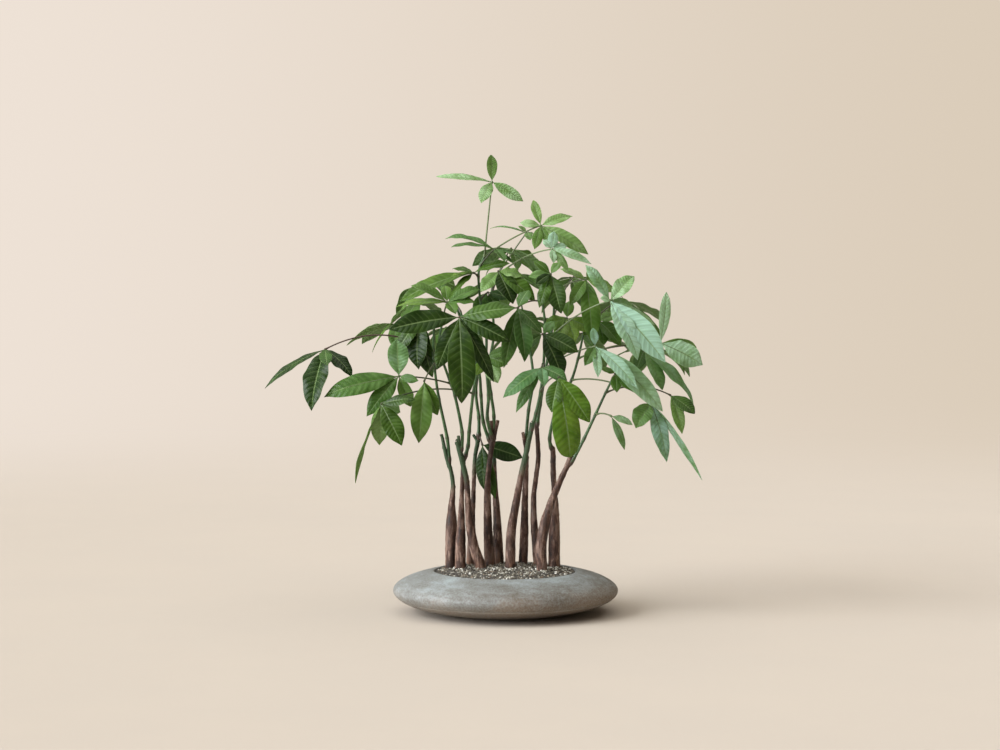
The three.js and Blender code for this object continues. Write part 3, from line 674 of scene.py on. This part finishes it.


# Shoots.
# Green stems grow out of the trunks from a brown collar. Long thin stalks leave them at swollen
# nodes, and each ends in a small knob with five to seven leaflets, whose ribs carry on below them.

# Each shoot is its name, its stem, its leaves and where its hidden rear leaves are. A leaf is the
# stem's point that it grows at, its hub, the way its face looks, how far its stalk rises, its tone
# from dark to fresh, partly its own and partly painted shade and painted sheen, its hue from
# bluish, partly painted sheen, to yellowish, partly painted glow of blades lit from behind, and the
# tips of its leaflets from the hub. After a tip and its width come, for some, its painted light,
# painted sheen where it lifts the tone above its leaf's and painted shade where it lowers it, its
# turn about the rib in degrees and how blunt it is. All places are (x, y, z) in millimetres.
shoot_rows = [
    ("left",
     [(-96, 30, 250), (-100, 30, 295), (-114, 26, 363), (-121, 20, 414), (-123, 14, 447),
      (-122, 8, 485)],
     [(4, (-305, -35, 450), (-0.1, -0.3, 1), 50, 0.1, 0.6, [
          (-103, -20, -62, 21, 0, -5), (-21, -55, -99, 44, -0.25), (50, -30, -42, 32),
          (8, -62, -24, 22)]),
      (5, (-146, -20, 500), (-0.3, -1, 0.4), 5, 0.05, 1, [
          (-4, -20, -84, 40), (22, -5, -98, 34), (-36, -15, -52, 28)])],
     [(5, -190, 100, 490)]),
    ("left_front",
     [(-76, -4, 270), (-74, -4, 308), (-86, -6, 370), (-93, -10, 391), (-108, -15, 435),
      (-112, -20, 465), (-106, -26, 500)],
     [(3, (-179, -60, 406), (-0.1, -1, 0.4), 6, 0.48, 0.5, [
          (-127, -25, -29, 39), (-54, -15, -67, 31), (20, 10, -52, 24), (33, -15, -7, 15),
          (-4, 12, 62, 36, 0.22)]),
      (4, (-136, -85, 399), (0, -1, 0.3), 14, 0.5, 0.75, [
          (-8, -12, -104, 36), (22, 10, -58, 24)]),
      (6, (-98, -55, 530), (0, -0.6, 0.8), 6, 0.5, 0.65, [
          (-60, -10, 30, 22), (-4, 20, 29, 18), (-86, -15, -5, 24), (55, 10, 24, 24),
          (15, -34, -17, 20, -0.2), (48, -6, 2, 22)])],
     []),
    ("front",
     [(-71, 6, 258), (-64, 8, 283), (-62, 6, 308), (-55, -5, 374), (-48, -12, 409),
      (-45, -30, 445), (-58, -50, 480)],
     [(3, (-207, -100, 362), (0, -1, 0.5), 30, 0.5, 0.65, [
          (57, -20, 11, 21, -0.25), (35, -22, -68, 34, -0.36), (-3, 5, -70, 31, 0.15),
          (32, 18, -15, 24, 0.3), (-49, 12, -131, 26, 0, 75)]),
      (4, (-31, -45, 438), (0, -1, 0.4), 4, 0.5, 0.8, [
          (18, -10, -44, 28, 0.2), (34, -14, -12, 24), (40, -8, 12, 20, -0.15),
          (-18, -12, -30, 18)]),
      (6, (-76, -125, 507), (0, -1, 0.5), 16, 0, 1, [
          (-116, -20, -20, 38), (6, -32, -141, 48), (-38, -8, -87, 33), (84, -14, -40, 30),
          (58, 6, -108, 26), (93, -10, 16, 34, 0.35)])],
     []),
    ("rear_left",
     [(-47, 60, 288), (-46, 60, 300), (-46, 62, 329), (-51, 64, 371), (-48, 70, 420),
      (-62, 80, 465), (-78, 92, 510)],
     [(1, (-40, 50, 282), (0, -1, 0.35), 3, 0.12, 0.6, [
          (70, 2, -23, 33), (2, -2, -83, 25, 0, 15), (22, 4, -97, 20)])],
     [(4, -105, 190, 480), (6, -125, 130, 570)]),
    ("middle",
     [(-25, 34, 284), (-38, 36, 322), (-42, 32, 369), (-46, 24, 412), (-66, 26, 470),
      (-84, 30, 520)],
     [(5, (-150, 20, 530), (-0.2, -0.2, 1), 14, 0.45, 0.6, [
          (-82, -5, -84, 30, 0, 30), (-50, 58, -40, 30), (-20, -60, -42, 32), (40, 46, -20, 26)])],
     []),
    ("tall",
     [(-22, 29, 291), (-31, 21, 329), (-29, 20, 369), (-33, 14, 423), (-33, 10, 477),
      (-43, 8, 533), (-46, 6, 572), (-43, 6, 591), (-36, 6, 606)],
     [(6, (-55, 0, 579), (-0.1, -0.4, 1), 2, 0.35, 0.8, [
          (-36, 22, 9, 20), (-125, -5, -49, 34, -0.1), (62, 5, 16, 22), (-39, -30, -5, 18),
          (-44, -26, -50, 26)]),
      (5, (-30, 34, 545), (0, -0.8, 0.6), 4, 0.2, 0.4, [
          (22, -8, -44, 24), (-24, -8, -36, 22), (36, -4, -10, 20)]),
      (8, (-23, 0, 733), (0.1, -1, 0.35), 2, 0.72, 0.55, [
          (0, 14, 48, 19), (-95, 4, 9, 20, 0, 45), (-19, -30, -35, 22), (53, -6, -33, 20, 0, 35)]),
      (8, (60, 0, 659), (0, -1, 0.5), 10, 0.75, 0.6, [
          (-15, 22, 45, 16), (54, 8, 17, 21), (81, -10, -49, 24, -0.12), (-36, 4, 5, 15, 0.15),
          (-11, -20, -40, 18, -0.25), (14, -14, -34, 13, -0.2)]),
      (7, (-18, -4, 619), (0, -0.25, 1), 4, 0.4, 0.25, [
          (-85, 12, 22, 20), (-74, -24, 8, 20), (58, -8, -22, 20), (17, -34, -20, 18),
          (42, -12, -36, 18)])],
     []),
    ("centre",
     [(-21, 74, 262), (-20, 72, 329), (-25, 66, 369), (-29, 60, 415), (-20, 56, 473),
      (-24, 52, 540), (-16, 48, 572)],
     [(6, (36, 38, 647), (0, -0.6, 0.9), 2, 0.7, 0.45, [
          (-63, 4, 11, 7), (-14, 8, 13, 10), (6, -32, -12, 14), (22, 26, -6, 14)]),
      (6, (78, -38, 619), (0.1, -0.8, 0.7), 18, 0.95, 0.35, [
          (4, 14, 30, 19), (-15, 4, 16, 13), (66, -8, -25, 20), (27, -22, -37, 17, -0.12),
          (2, -26, -23, 13), (26, 12, 6, 14)]),
      (5, (-12, -38, 582), (0.1, -0.9, 0.6), 10, 0.3, 0.75, [
          (24, -20, -55, 38, -0.35), (-30, -18, -34, 24, 0.3), (44, 2, -8, 22, 0.35),
          (62, -6, -50, 30)])],
     [(5, 10, 125, 620)]),
    ("right_front",
     [(42, -2, 304), (52, -4, 340), (60, -8, 378), (64, -12, 415), (66, -18, 460), (66, -24, 500),
      (62, -30, 530)],
     [(2, (87, -140, 408), (0, -1, 0.35), 16, 0.36, 1, [
          (22, -22, -131, 48, 0, 0, 1), (52, -8, -74, 36), (-12, -12, -57, 28, -0.12)]),
      (3, (60, -115, 424), (-0.1, -0.9, 0.6), 16, 0.5, 0.15, [
          (-64, -20, -50, 30), (3, -34, -30, 18), (-43, 4, -76, 20), (42, -22, -20, 24, -0.2)]),
      (4, (62, -65, 477), (0.1, -0.9, 0.6), 6, 0.12, 0.65, [
          (60, -15, -30, 30), (35, -20, -75, 34), (-40, -14, -30, 24), (20, 8, 22, 18, 0.4)]),
      (3, (150, -60, 456), (0.2, -0.8, 0.7), 12, 0.85, 0.2, [
          (-3, 12, 31, 15, 0.05), (116, -16, -108, 38), (70, -40, -68, 26),
          (-18, -26, -31, 20, -0.4), (4, -34, -50, 16)]),
      (4, (174, -80, 533), (0.1, -1, 0.5), 22, 1, 0.28, [
          (-39, 10, 63, 22, -0.12), (41, 12, 43, 29, -0.08), (92, -20, -102, 42, 0.2),
          (48, -34, -96, 36), (-16, -10, 5, 13), (42, 34, -18, 26, -0.2),
          (78, 44, -42, 14, 0, 40)]),
      (6, (20, -105, 522), (0, -0.8, 0.8), 12, 0.3, 0.45, [
          (-84, -14, -18, 34, -0.25), (40, -10, -42, 30), (18, 14, 30, 24), (14, -26, -88, 30),
          (-22, -14, -100, 28)])],
     []),
    ("rear_right",
     [(54, 70, 308), (60, 66, 350), (66, 60, 390), (74, 54, 440), (82, 44, 500), (84, 32, 545)],
     [(5, (76, -38, 577), (0, -0.9, 0.7), 8, 0.32, 0.75, [
          (-29, 10, 23, 16, -0.1), (-37, -10, -4, 17, 0.45), (16, 8, 22, 16, 0.3),
          (-25, -24, -16, 16, -0.3), (17, -18, -66, 32, -0.12), (-20, -20, -56, 22, -0.1)]),
      (5, (136, -20, 568), (0.2, -0.9, 0.6), 10, 0.62, 0.55, [
          (10, -20, -106, 34, -0.2), (-28, -16, -44, 22), (52, 4, -22, 26, -0.1),
          (20, 26, 16, 20, -0.2), (20, -10, -60, 16, 0.1), (-44, 10, 18, 16)]),
      (4, (104, -8, 502), (0.1, -0.9, 0.5), 4, 0.62, 0.75, [
          (-38, -12, -14, 26), (-18, -16, -36, 26), (14, -14, -40, 28), (50, -8, -22, 28),
          (4, 14, 30, 20)])],
     [(4, 120, 150, 570), (3, 140, 185, 470)]),
    ("rear",
     [(36, 67, 262), (36, 68, 292), (40, 72, 340), (48, 80, 393), (42, 96, 448), (30, 112, 510)],
     [],
     [(4, 45, 215, 495), (5, 15, 215, 575)]),
    ("right",
     [(81, 40, 270), (76, 36, 294), (83, 34, 330), (96, 30, 360), (113, 25, 395), (124, 20, 432),
      (134, 12, 480)],
     [(4, (246, -30, 360), (0.2, -0.9, 0.6), 30, 0.78, 0.25, [
          (-27, -18, -42, 34, -0.25), (28, -12, -100, 30, 0.1), (88, 6, -132, 14, 0, 65)]),
      (5, (263, -15, 460), (0.2, -0.9, 0.5), 20, 0.84, 0.35, [
          (11, 14, 87, 20), (71, -10, -37, 41), (65, 26, -10, 24, -0.12, 50)]),
      (6, (238, 30, 445), (0.4, -0.7, 0.6), 24, 0.72, 0.35, [
          (92, -6, -92, 30), (40, 50, -60, 34), (30, -24, -66, 30)]),
      (6, (158, 4, 497), (0.2, -0.8, 0.6), 6, 0.38, 0.65, [
          (38, -12, -42, 30), (10, -16, -40, 24), (-26, -8, -24, 22), (30, 8, 10, 20, 0.25)])],
     [(5, 245, 100, 450), (6, 205, 85, 530)]),
    ("right_low",
     [(105, -28, 250), (115, -28, 264), (133, -32, 299), (152, -35, 340), (169, -38, 377),
      (181, -40, 402)],
     [(3, (178, -48, 338), (0.2, -0.9, 0.5), 6, 0.7, 0.4, [
          (36, -6, -14, 15), (24, -12, -56, 15)]),
      (4, (278, -40, 373), (0.3, -0.8, 0.6), 26, 0.3, 0.8, [
          (40, -14, -31, 28), (20, -20, -64, 22, 0.3), (26, 24, -38, 20)]),
      (5, (184, -62, 410), (0.1, -0.8, 0.7), 2, 0.5, 0.6, [
          (34, -12, -28, 22), (2, -20, -30, 18), (-22, 8, 10, 15)])],
     []),
]
Leaflet = namedtuple("Leaflet", "x y z width paler turn blunt", defaults=(0, 0, None))
stem_radius = 3.1
stem_tip_radius = 1.9
stem_steps = 14
collar_height = 9
collar_reach = 5
collar_swell = 1.25
collar_brown_from = 16
knot_reach = 4.5
knot_swell = 0.22
bud_brownness = 0.2
stalk_radius = 1.15
node_swell_reach = 5
hub_swell_reach = 3.2
stalk_swell = 0.75
knob_length = 1.6
knob_radius = 1.3
stalk_steps = 24
stalk_sides = 10
bud_rings = ((2, 0.95), (5, 0.6), (8, 0.3), (10, 0.08))
hidden_leaflets = 5
hidden_length = 112
hidden_width_share = 0.33
hidden_rise = 18
hidden_tone = 0.4
hidden_hue = 0.6
rib_start = 1.2
rib_arch = 0.12
rib_steps = 9
full_rib_length = 90
rib_tip_radius = 0.2
rib_thickening = 0.8
rib_end = 0.7  # share of a leaflet's length, past which its rib is level with the blade
stem_green = (0.027, 0.070, 0.020)
stem_light = (0.074, 0.160, 0.052)
stalk_fresh = (0.140, 0.190, 0.080)
stalk_olive = (0.060, 0.078, 0.030)
stalk_plum = (0.066, 0.038, 0.027)
rib_green = (0.120, 0.180, 0.065)
collar_brown = (0.060, 0.038, 0.026)


def hidden_leaf(stem, node, *hub):
    """A leaf of the rear, with its leaflets spread all round by one rule."""
    base, hub = Vector(stem[node]), Vector(hub)
    outward = Vector((hub.x - base.x, hub.y - base.y, 0))
    face = outward.normalized() * 0.35 + Vector((0, 0, 1))
    away = math.atan2(outward.y, outward.x)
    tips = []
    for i in range(hidden_leaflets):
        angle = away + i * 2 * math.pi / hidden_leaflets
        length = hidden_length * (1 - 0.2 * (1 - math.cos(angle - away)))
        drop = 0.5 + 0.2 * math.sin(hub.x + i * i)
        reach = length * math.cos(drop)
        tips.append((reach * math.cos(angle), reach * math.sin(angle),
                     -length * math.sin(drop), length * hidden_width_share))
    return node, hub, face, hidden_rise, hidden_tone, hidden_hue, tips


shoots = {name: (stem, leaves + [hidden_leaf(stem, *place) for place in hidden])
          for name, stem, leaves, hidden in shoot_rows}


def arc_point(start, bend, end, t):
    """A point of a plain arc with one bend."""
    return start * (1 - t) ** 2 + bend * 2 * t * (1 - t) + end * t * t


def rib_arc(hub, face, tip):
    """Root, bend and end of a leaflet's rib, which arches towards its face."""
    hub, reach = Vector(hub), Vector(tip[:3])
    bend = hub + reach / 2 + Vector(face).normalized() * rib_arch * reach.length
    return hub + (bend - hub).normalized() * rib_start, bend, hub + reach


def stem_run(points):
    """A stem's rod and how brown it is, with a collar at its foot, knots and a bud at its tip."""
    path = smooth_path(points, stem_steps)
    lengths = [0.0]
    for a, b in zip(path, path[1:]):
        lengths.append(lengths[-1] + (b - a).length)
    run, browns = [], []
    for point, along in zip(path, lengths):
        knot = max(math.exp(-((along - node) / knot_reach) ** 2)
                   for node in lengths[stem_steps::stem_steps])
        collar = math.exp(-((along - collar_height) / collar_reach) ** 2)
        radius = stem_radius + (stem_tip_radius - stem_radius) * (along / lengths[-1])
        run.append(Vector((*point, radius * (1 + knot_swell * knot) + collar_swell * collar)))
        browns.append(max(soft_step(along, collar_brown_from, collar_height),
                          0.55 * soft_step(knot, 0.6, 1)))
    tip = Vector(run[-1][:3])
    lead = (tip - Vector(run[-4][:3])).normalized()
    run += [Vector((*(tip + lead * step), stem_tip_radius * share)) for step, share in bud_rings]
    return run, browns + [bud_brownness] * len(bud_rings)


def stalk_run(base, hub, rise):
    """A leaf stalk's rod, which swells at both ends and closes in a knob at the hub."""
    bend = (base + hub) / 2 + Vector((0, 0, rise))
    length = (hub - base).length
    run = []
    for step in range(stalk_steps + 1):
        t = step / stalk_steps
        swell = math.exp(-(t * length / node_swell_reach) ** 2) \
            + 1.1 * math.exp(-((1 - t) * length / hub_swell_reach) ** 2)
        radius = stalk_radius * (1.3 - 0.3 * t) * (1 + stalk_swell * swell)
        run.append(Vector((*arc_point(base, bend, hub, t), radius)))
    over = Vector((run[-1] - run[-2]).normalized()[:3])
    return [*run, Vector((*(hub + over * knob_length), knob_radius))]


def rib_run(hub, face, tip):
    """The rod of a leaflet's rib, along the underside of its blade."""
    root, middle, end = rib_arc(hub, face, tip)
    under = Vector(face).normalized()
    run = []
    for step in range(rib_steps + 1):
        t = rib_end * step / rib_steps
        thin = (1 - step / rib_steps) ** 1.4 * min((end - root).length / full_rib_length, 1)
        radius = rib_tip_radius + rib_thickening * thin
        tangent = ((middle - root) * (1 - t) + (end - middle) * t).normalized()
        down = (under - tangent * under.dot(tangent)).normalized() * -(radius * 0.8)
        run.append(Vector((*(arc_point(root, middle, end, t) + down), radius)))
    return run


green_stalk, tree, surface = new_material("green_stalk")
streaks = add_mottle(object_place(tree, (1, 1, 0.25)), 170.0)
kind = painted(tree, "stalk_kind")
brown = painted(tree, "stalk_brown")
thin_colour = coloured(brown, [(0.0, stalk_fresh), (0.35, stalk_olive), (0.8, stalk_plum)])
colour = layered(
    coloured(streaks["Clouds"], [(0.2, stem_green), (1.0, stem_light)]),
    (shaped(kind, 0.1, 0.4), thin_colour), (shaped(kind, 0.6, 0.9), rib_green),
    (times(brown, shaped(kind, 0.1, 0.4, 1.0, 0.0)), collar_brown),
    (times(streaks["Specks"], 0.4), collar_brown))
set_finish(surface, colour, shaped(streaks["Clouds"], 0.0, 1.0, 0.36, 0.5),
           (0.35, 0.4 * MM, streaks["Height"]))

for name, (stem, leaves) in shoots.items():
    chance = random.Random(name)
    run, browns = stem_run(stem)
    # Each run is its rod, its kind (0 stem, 0.5 stalk, 1 rib) and how brown each ring is.
    runs = [(run, 0.0, browns)]
    for node, hub, face, rise, tone, _, tips in leaves:
        tint = min(max(0.8 - tone + chance.uniform(-0.15, 0.15), 0), 1)
        run = stalk_run(Vector(stem[node]), Vector(hub), rise)
        runs.append((run, 0.5, [tint] * len(run)))
        runs += [(rib_run(hub, face, tip), 1.0, [0.0] * (rib_steps + 1)) for tip in tips]
    stalks = add_rods(f"stalks_{name}", [run for run, _, _ in runs], stalk_sides)
    set_attribute(stalks.data, "stalk_kind", [
        kind for run, kind, _ in runs for _ in range(len(run) * stalk_sides)])
    set_attribute(stalks.data, "stalk_brown", [
        shade for _, _, browns in runs for shade in browns for _ in range(stalk_sides)])
    bpy.ops.object.shade_smooth_by_angle(angle=math.radians(50))
    stalks.data.materials.append(green_stalk)
    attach(stalks, "root")
    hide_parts(f"shoot_{name}")


# Leaflets.
# Thin, semi-glossy blades, widest past the middle and drawn out to a tip. They fold up a little
# along a pale rib, and swell between twelve pairs of side veins that sweep towards the tip. The
# blade is modelled once, flat, and each copy is bent along its own rib.
blade_outline = [(0, 0.05, 0.05), (0.05, 0.10, 0.09), (0.15, 0.45, 0.30), (0.3, 0.84, 0.60),
                 (0.45, 0.975, 0.84), (0.58, 1, 0.97), (0.72, 0.87, 1), (0.84, 0.58, 0.93),
                 (0.92, 0.27, 0.74), (0.97, 0.10, 0.46), (1, 0.01, 0.02)]
blade_across = 10
vein_pairs = 12
rows_to_vein = 3
vein_sweep = 0.10
quilt_depth = 0.055
blade_thickness = 0.55 * MM
most_twist = 30
most_hang = 0.08
leaf_dark = (0.013, 0.042, 0.005)
leaf_mid = (0.074, 0.172, 0.028)
leaf_fresh = (0.190, 0.325, 0.098)
leaf_sheen_pale = (0.470, 0.660, 0.360)
leaf_vein = (0.270, 0.400, 0.150)
under_tint = (0.190, 0.290, 0.135)
bluish_sheen = (0.88, 1.0, 1.75)
yellowish_glow = (1.12, 1.04, 0.36)
through_dark = (0.05, 0.14, 0.005)
through_fresh = (0.50, 0.76, 0.05)
leaf_glow = 0.34
settled_bluntness = 0.1

blade = new_piece(
    bpy.ops.mesh.primitive_grid_add, x_subdivisions=blade_across,
    y_subdivisions=vein_pairs * rows_to_vein, size=2)
blade.name = "blade_pattern"
blade.data.uv_layers[0].name = "blade"
blade_corners = []
for vert in blade.data.vertices:
    side, row_share = vert.co.x, (vert.co.y + 1) / 2
    along = row_share + vein_sweep * abs(side) ** 1.25 * 4 * row_share * (1 - row_share) ** 0.8
    swell = abs(math.sin(math.pi * vein_pairs * row_share)) * (1 - side ** 4) * abs(side) ** 0.5
    blade_corners.append((side, min(along, 1), swell))
blade_corners = np.array(blade_corners)
outline_places, pointed_halves, blunt_halves = zip(*smooth_path(blade_outline, 8))


def bent_blade(hub, face, tip, chance):
    """The corners of the blade, in metres, laid along a leaflet's rib. Its bluntness is drawn,
    unless it is given or the leaflet has its own painted light against its leaf."""
    blunt = tip.blunt
    if blunt is None:
        blunt = settled_bluntness if tip.paler else chance.uniform(0, 0.25)
    root, middle, end = (np.array(point) for point in rib_arc(hub, face, tip))
    side, along, swell = blade_corners.T
    share = np.interp(along, outline_places, pointed_halves) * (1 - blunt) \
        + np.interp(along, outline_places, blunt_halves) * blunt
    t = along[:, None]
    centre = arc_point(root, middle, end, t)
    length = np.linalg.norm(end - root)
    tangent = (middle - root) * (1 - t) + (end - middle) * t
    tangent /= np.linalg.norm(tangent, axis=1, keepdims=True)
    across = np.cross(np.array(face) / np.linalg.norm(face), tangent)
    across /= np.linalg.norm(across, axis=1, keepdims=True)
    up = np.cross(tangent, across)
    twist = math.radians(tip.turn) + math.radians(chance.uniform(-most_twist, most_twist)) * along
    cos, sin = np.cos(twist)[:, None], np.sin(twist)[:, None]
    across, up = across * cos + up * sin, up * cos - across * sin
    fold = chance.triangular(0.10, 0.60, 0.25)
    bow = chance.uniform(0.10, 0.30)
    ripple = chance.uniform(0.04, 0.15) * np.sin(
        2 * math.pi * (chance.uniform(1.6, 2.8) * along + chance.random()) + side * 1.3)
    ripple = ripple + chance.uniform(0.01, 0.03) * np.sin(
        2 * math.pi * (chance.uniform(4, 6) * along + chance.random()))
    lean = chance.uniform(-0.07, 0.07)
    lift = fold * abs(side) - bow * side ** 2 + ripple * abs(side) ** 2.2
    lift = lift * share + quilt_depth * swell * np.minimum(4 * share, 1) \
        + 0.03 * np.sin(3.1 * along + chance.uniform(0, 6))
    reach = side * share * (1 + lean * np.sign(side))
    half = tip.width / 2
    hang = chance.uniform(-0.01, most_hang) * length * t ** 6
    return (centre - across * (reach * half)[:, None] + up * ((lift * half)[:, None] - hang)) * MM


def leaf_colours(tree, share_under):
    """Colour, glow, height and mottle of a blade's face; share_under is how far it is the lighter
    underside."""
    uv = add_node(tree, "UVMap", uv_map="blade").outputs[0]
    aside = maths("ABSOLUTE", maths("MULTIPLY_ADD", axis_of(uv, "X"), 2.0, -1.0))
    beat = maths("FRACT", times(axis_of(uv, "Y"), float(vein_pairs)))
    off_vein = maths("ABSOLUTE", maths("SUBTRACT", beat, 0.5))
    vein = times(shaped(off_vein, 0.38, 0.5), shaped(aside, 0.65, 0.98, 1.0, 0.0))
    rib = shaped(aside, 0.02, 0.09, 1.0, 0.0)
    blotch = add_mottle(object_place(tree), 34.0)
    tone = painted(tree, "leaf_tone")
    uneven = maths("MULTIPLY_ADD", blotch["Clouds"], 0.24, -0.12)
    # The palest colour at the top of the tone ramp is painted sheen, the bluish gloss of light off
    # the blades; the dark end is partly painted shade.
    ramp = coloured(maths("ADD", tone, uneven), [
        (0.0, leaf_dark), (0.4, leaf_mid), (0.7, leaf_fresh), (0.93, leaf_sheen_pale)])
    # The bluish end of the cast is partly painted sheen, and the yellowish end partly painted glow
    # of blades lit from behind; the rest is the leaves' own hue.
    cast = mixed(painted(tree, "leaf_hue"), bluish_sheen, yellowish_glow)
    colour = layered(
        mixed(1.0, ramp, cast, "MULTIPLY"), (share_under, under_tint),
        (shaped(off_vein, 0.0, 0.35, 0.22, 0.0), leaf_dark), (times(vein, 0.2), leaf_vein),
        (times(rib, 0.66), leaf_vein), (shaped(aside, 0.95, 1.0, 0.0, 0.4), leaf_vein))
    glow = mixed(1.0, mixed(tone, through_dark, through_fresh), cast, "MULTIPLY")
    glow = mixed(times(maths("MAXIMUM", vein, rib), 0.25), glow, through_dark)
    bulge = shaped(off_vein, 0.0, 0.5, 1.0, 0.0)
    height = maths("MULTIPLY_ADD", rib, -0.35, times(bulge, 0.6))
    return colour, glow, height, blotch


leaf_finishes = []
for name, share_under, depth, shine in (("leaf_upper_face", 0.0, 1.0, 0.34),
                                        ("leaf_under_face", 0.55, -1.0, 0.46)):
    finish, tree, surface = new_material(name)
    colour, glow, height, blotch = leaf_colours(tree, share_under)
    fine_height = maths("MULTIPLY_ADD", height, depth, times(blotch["Height"], 0.15))
    set_finish(surface, colour, shaped(blotch["Clouds"], 0.0, 1.0, shine, shine + 0.14),
               (0.6, 0.6 * MM, fine_height), specular=0.35)
    through = add_node(tree, "BsdfTranslucent", {"Color": glow})
    both = add_node(tree, "MixShader", {
        0: leaf_glow, 1: surface.outputs[0], 2: through.outputs[0]})
    tree.links.new(both.outputs[0], tree.nodes["Material Output"].inputs["Surface"])
    leaf_finishes.append(finish)

for name, (_, leaves) in shoots.items():
    chance = random.Random(name + " leaflets")
    copies = []
    for _, hub, face, _, tone, hue, tips in leaves:
        for tip in tips:
            tip = Leaflet(*tip)
            leaflet = blade.copy()
            leaflet.data = blade.data.copy()
            bpy.context.scene.collection.objects.link(leaflet)
            leaflet.data.vertices.foreach_set("co", bent_blade(hub, face, tip, chance).ravel())
            # A leaflet's own shift is painted light: upwards it is painted sheen and turns bluish,
            # downwards it is painted shade.
            own_tone = min(max(tone + tip.paler + chance.uniform(-0.12, 0.12), 0), 1)
            own_hue = min(max(hue - 0.8 * tip.paler + chance.uniform(-0.14, 0.14), 0), 1)
            set_attribute(leaflet.data, "leaf_tone", [own_tone] * len(blade_corners))
            set_attribute(leaflet.data, "leaf_hue", [own_hue] * len(blade_corners))
            copies.append(leaflet)
    nothing_selected()
    for leaflet in copies:
        leaflet.select_set(True)
    bpy.context.view_layer.objects.active = copies[0]
    bpy.ops.object.join()
    leaflets = bpy.context.object
    leaflets.name = f"leaflets_{name}"
    leaflets.data.materials.clear()
    for finish in leaf_finishes:
        leaflets.data.materials.append(finish)
    apply_modifier(leaflets, "SOLIDIFY", thickness=blade_thickness, offset=-1,
                   material_offset=1, material_offset_rim=1)
    bpy.ops.object.shade_smooth_by_angle(angle=math.radians(50))
    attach(leaflets, "root")
    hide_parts(f"shoot_{name}")
bpy.data.objects.remove(blade)


# Setting.
# A plain pale floor that runs out into a pale backdrop, warm studio air, one broad soft light from
# the left and a weak one from above. The backdrop glows with painted light, brighter to the left,
# and shows to the camera alone, so that it takes no light from the air.
floor_radius = 6.0
sweep_radius = 1.6
backdrop_height = 4.0
floor_colour = (0.512, 0.458, 0.402)
wall_left = (0.860, 0.765, 0.680)
wall_right = (0.700, 0.600, 0.480)
air_colour = (1.0, 0.86, 0.68)
air_strength = 0.24
circle_corners = 128
sweep_steps = 12
lens_length = 93.6
film_width = 36
camera_place = (-0.0094, -4.42, 0.626)
camera_dip = 2.862
# Each light is its colour, strength, spread in degrees, place and aim.
lights = {
    "broad_light": ((0.93, 0.97, 1.0), 5.5, 54, (-2.6, -1.1, 1.45), (0, 0, 0.3)),
    "high_light": ((1.0, 0.96, 0.90), 2.1, 100, (-0.4, 0, 3), (0, 0, 0))}


def wall_glow(tree):
    """The backdrop's pale glow, painted a little brighter to the left where the broad light stands,
    as a shader.
    """
    across = shaped(axis_of(object_place(tree), "X"), -3.0, 3.0)
    colour = mixed(across, wall_left, wall_right)
    return add_node(tree, "Emission", {"Color": colour}).outputs[0]


floor = new_piece(bpy.ops.mesh.primitive_circle_add, vertices=circle_corners,
                  radius=floor_radius, fill_type="NGON")
floor.name = "pale_floor"
floor_finish, tree, surface = new_material("pale_floor")
even = add_mottle(object_place(tree), 3.0)
colour = mixed(times(even["Clouds"], 0.06), floor_colour, wall_right)
set_inputs(surface, {"Base Color": colour, "Roughness": 0.75, "Specular IOR Level": 0.3})
away = add_node(tree, "VectorMath", {0: object_place(tree)}, operation="LENGTH").outputs["Value"]
both = add_node(tree, "MixShader", {
    0: shaped(away, 1.5, 4.5), 1: surface.outputs[0], 2: wall_glow(tree)})
tree.links.new(both.outputs[0], tree.nodes["Material Output"].inputs["Surface"])
floor.data.materials.append(floor_finish)

backdrop = new_piece(bpy.ops.mesh.primitive_circle_add, vertices=circle_corners,
                     radius=floor_radius, fill_type="NOTHING")
backdrop.name = "pale_backdrop"
edit_all()
for step in range(1, sweep_steps + 1):
    bpy.ops.mesh.extrude_edges_move()
    turn, last = (math.radians(90 * k / sweep_steps) for k in (step, step - 1))
    reach = floor_radius + sweep_radius * math.sin(turn)
    growth = reach / (floor_radius + sweep_radius * math.sin(last))
    resize_selected(growth, growth, 1)
    bpy.ops.transform.translate(value=(0, 0, sweep_radius * (math.cos(last) - math.cos(turn))))
bpy.ops.mesh.extrude_edges_move(TRANSFORM_OT_translate={"value": (0, 0, backdrop_height)})
bpy.ops.object.mode_set(mode="OBJECT")
bpy.ops.object.shade_smooth()
wall_finish, tree, surface = new_material("pale_wall")
tree.links.new(wall_glow(tree), tree.nodes["Material Output"].inputs["Surface"])
backdrop.data.materials.append(wall_finish)
for ray in ("diffuse", "glossy", "transmission", "shadow"):
    setattr(backdrop, "visible_" + ray, False)

world = bpy.context.scene.world or bpy.data.worlds.new("studio_air")
bpy.context.scene.world = world
world.use_nodes = True
air = world.node_tree.nodes["Background"]
air.inputs["Color"].default_value = (*air_colour, 1)
air.inputs["Strength"].default_value = air_strength

for name, (colour, strength, spread, place, aim) in lights.items():
    lamp = bpy.data.lights.new(name, "SUN")
    lamp.color = colour
    lamp.energy = strength
    lamp.angle = math.radians(spread)
    light = bpy.data.objects.new(name, lamp)
    bpy.context.scene.collection.objects.link(light)
    light.location = place
    light.rotation_euler = (Vector(aim) - Vector(place)).to_track_quat("-Z", "Y").to_euler()

lens = bpy.data.cameras.new("long_lens")
lens.lens = lens_length
lens.sensor_width = film_width
camera = bpy.data.objects.new("long_lens", lens)
bpy.context.scene.collection.objects.link(camera)
camera.location = camera_place
camera.rotation_euler = (math.radians(90 - camera_dip), 0, 0)
bpy.context.scene.camera = camera
bpy.context.scene.view_settings.view_transform = "Standard"
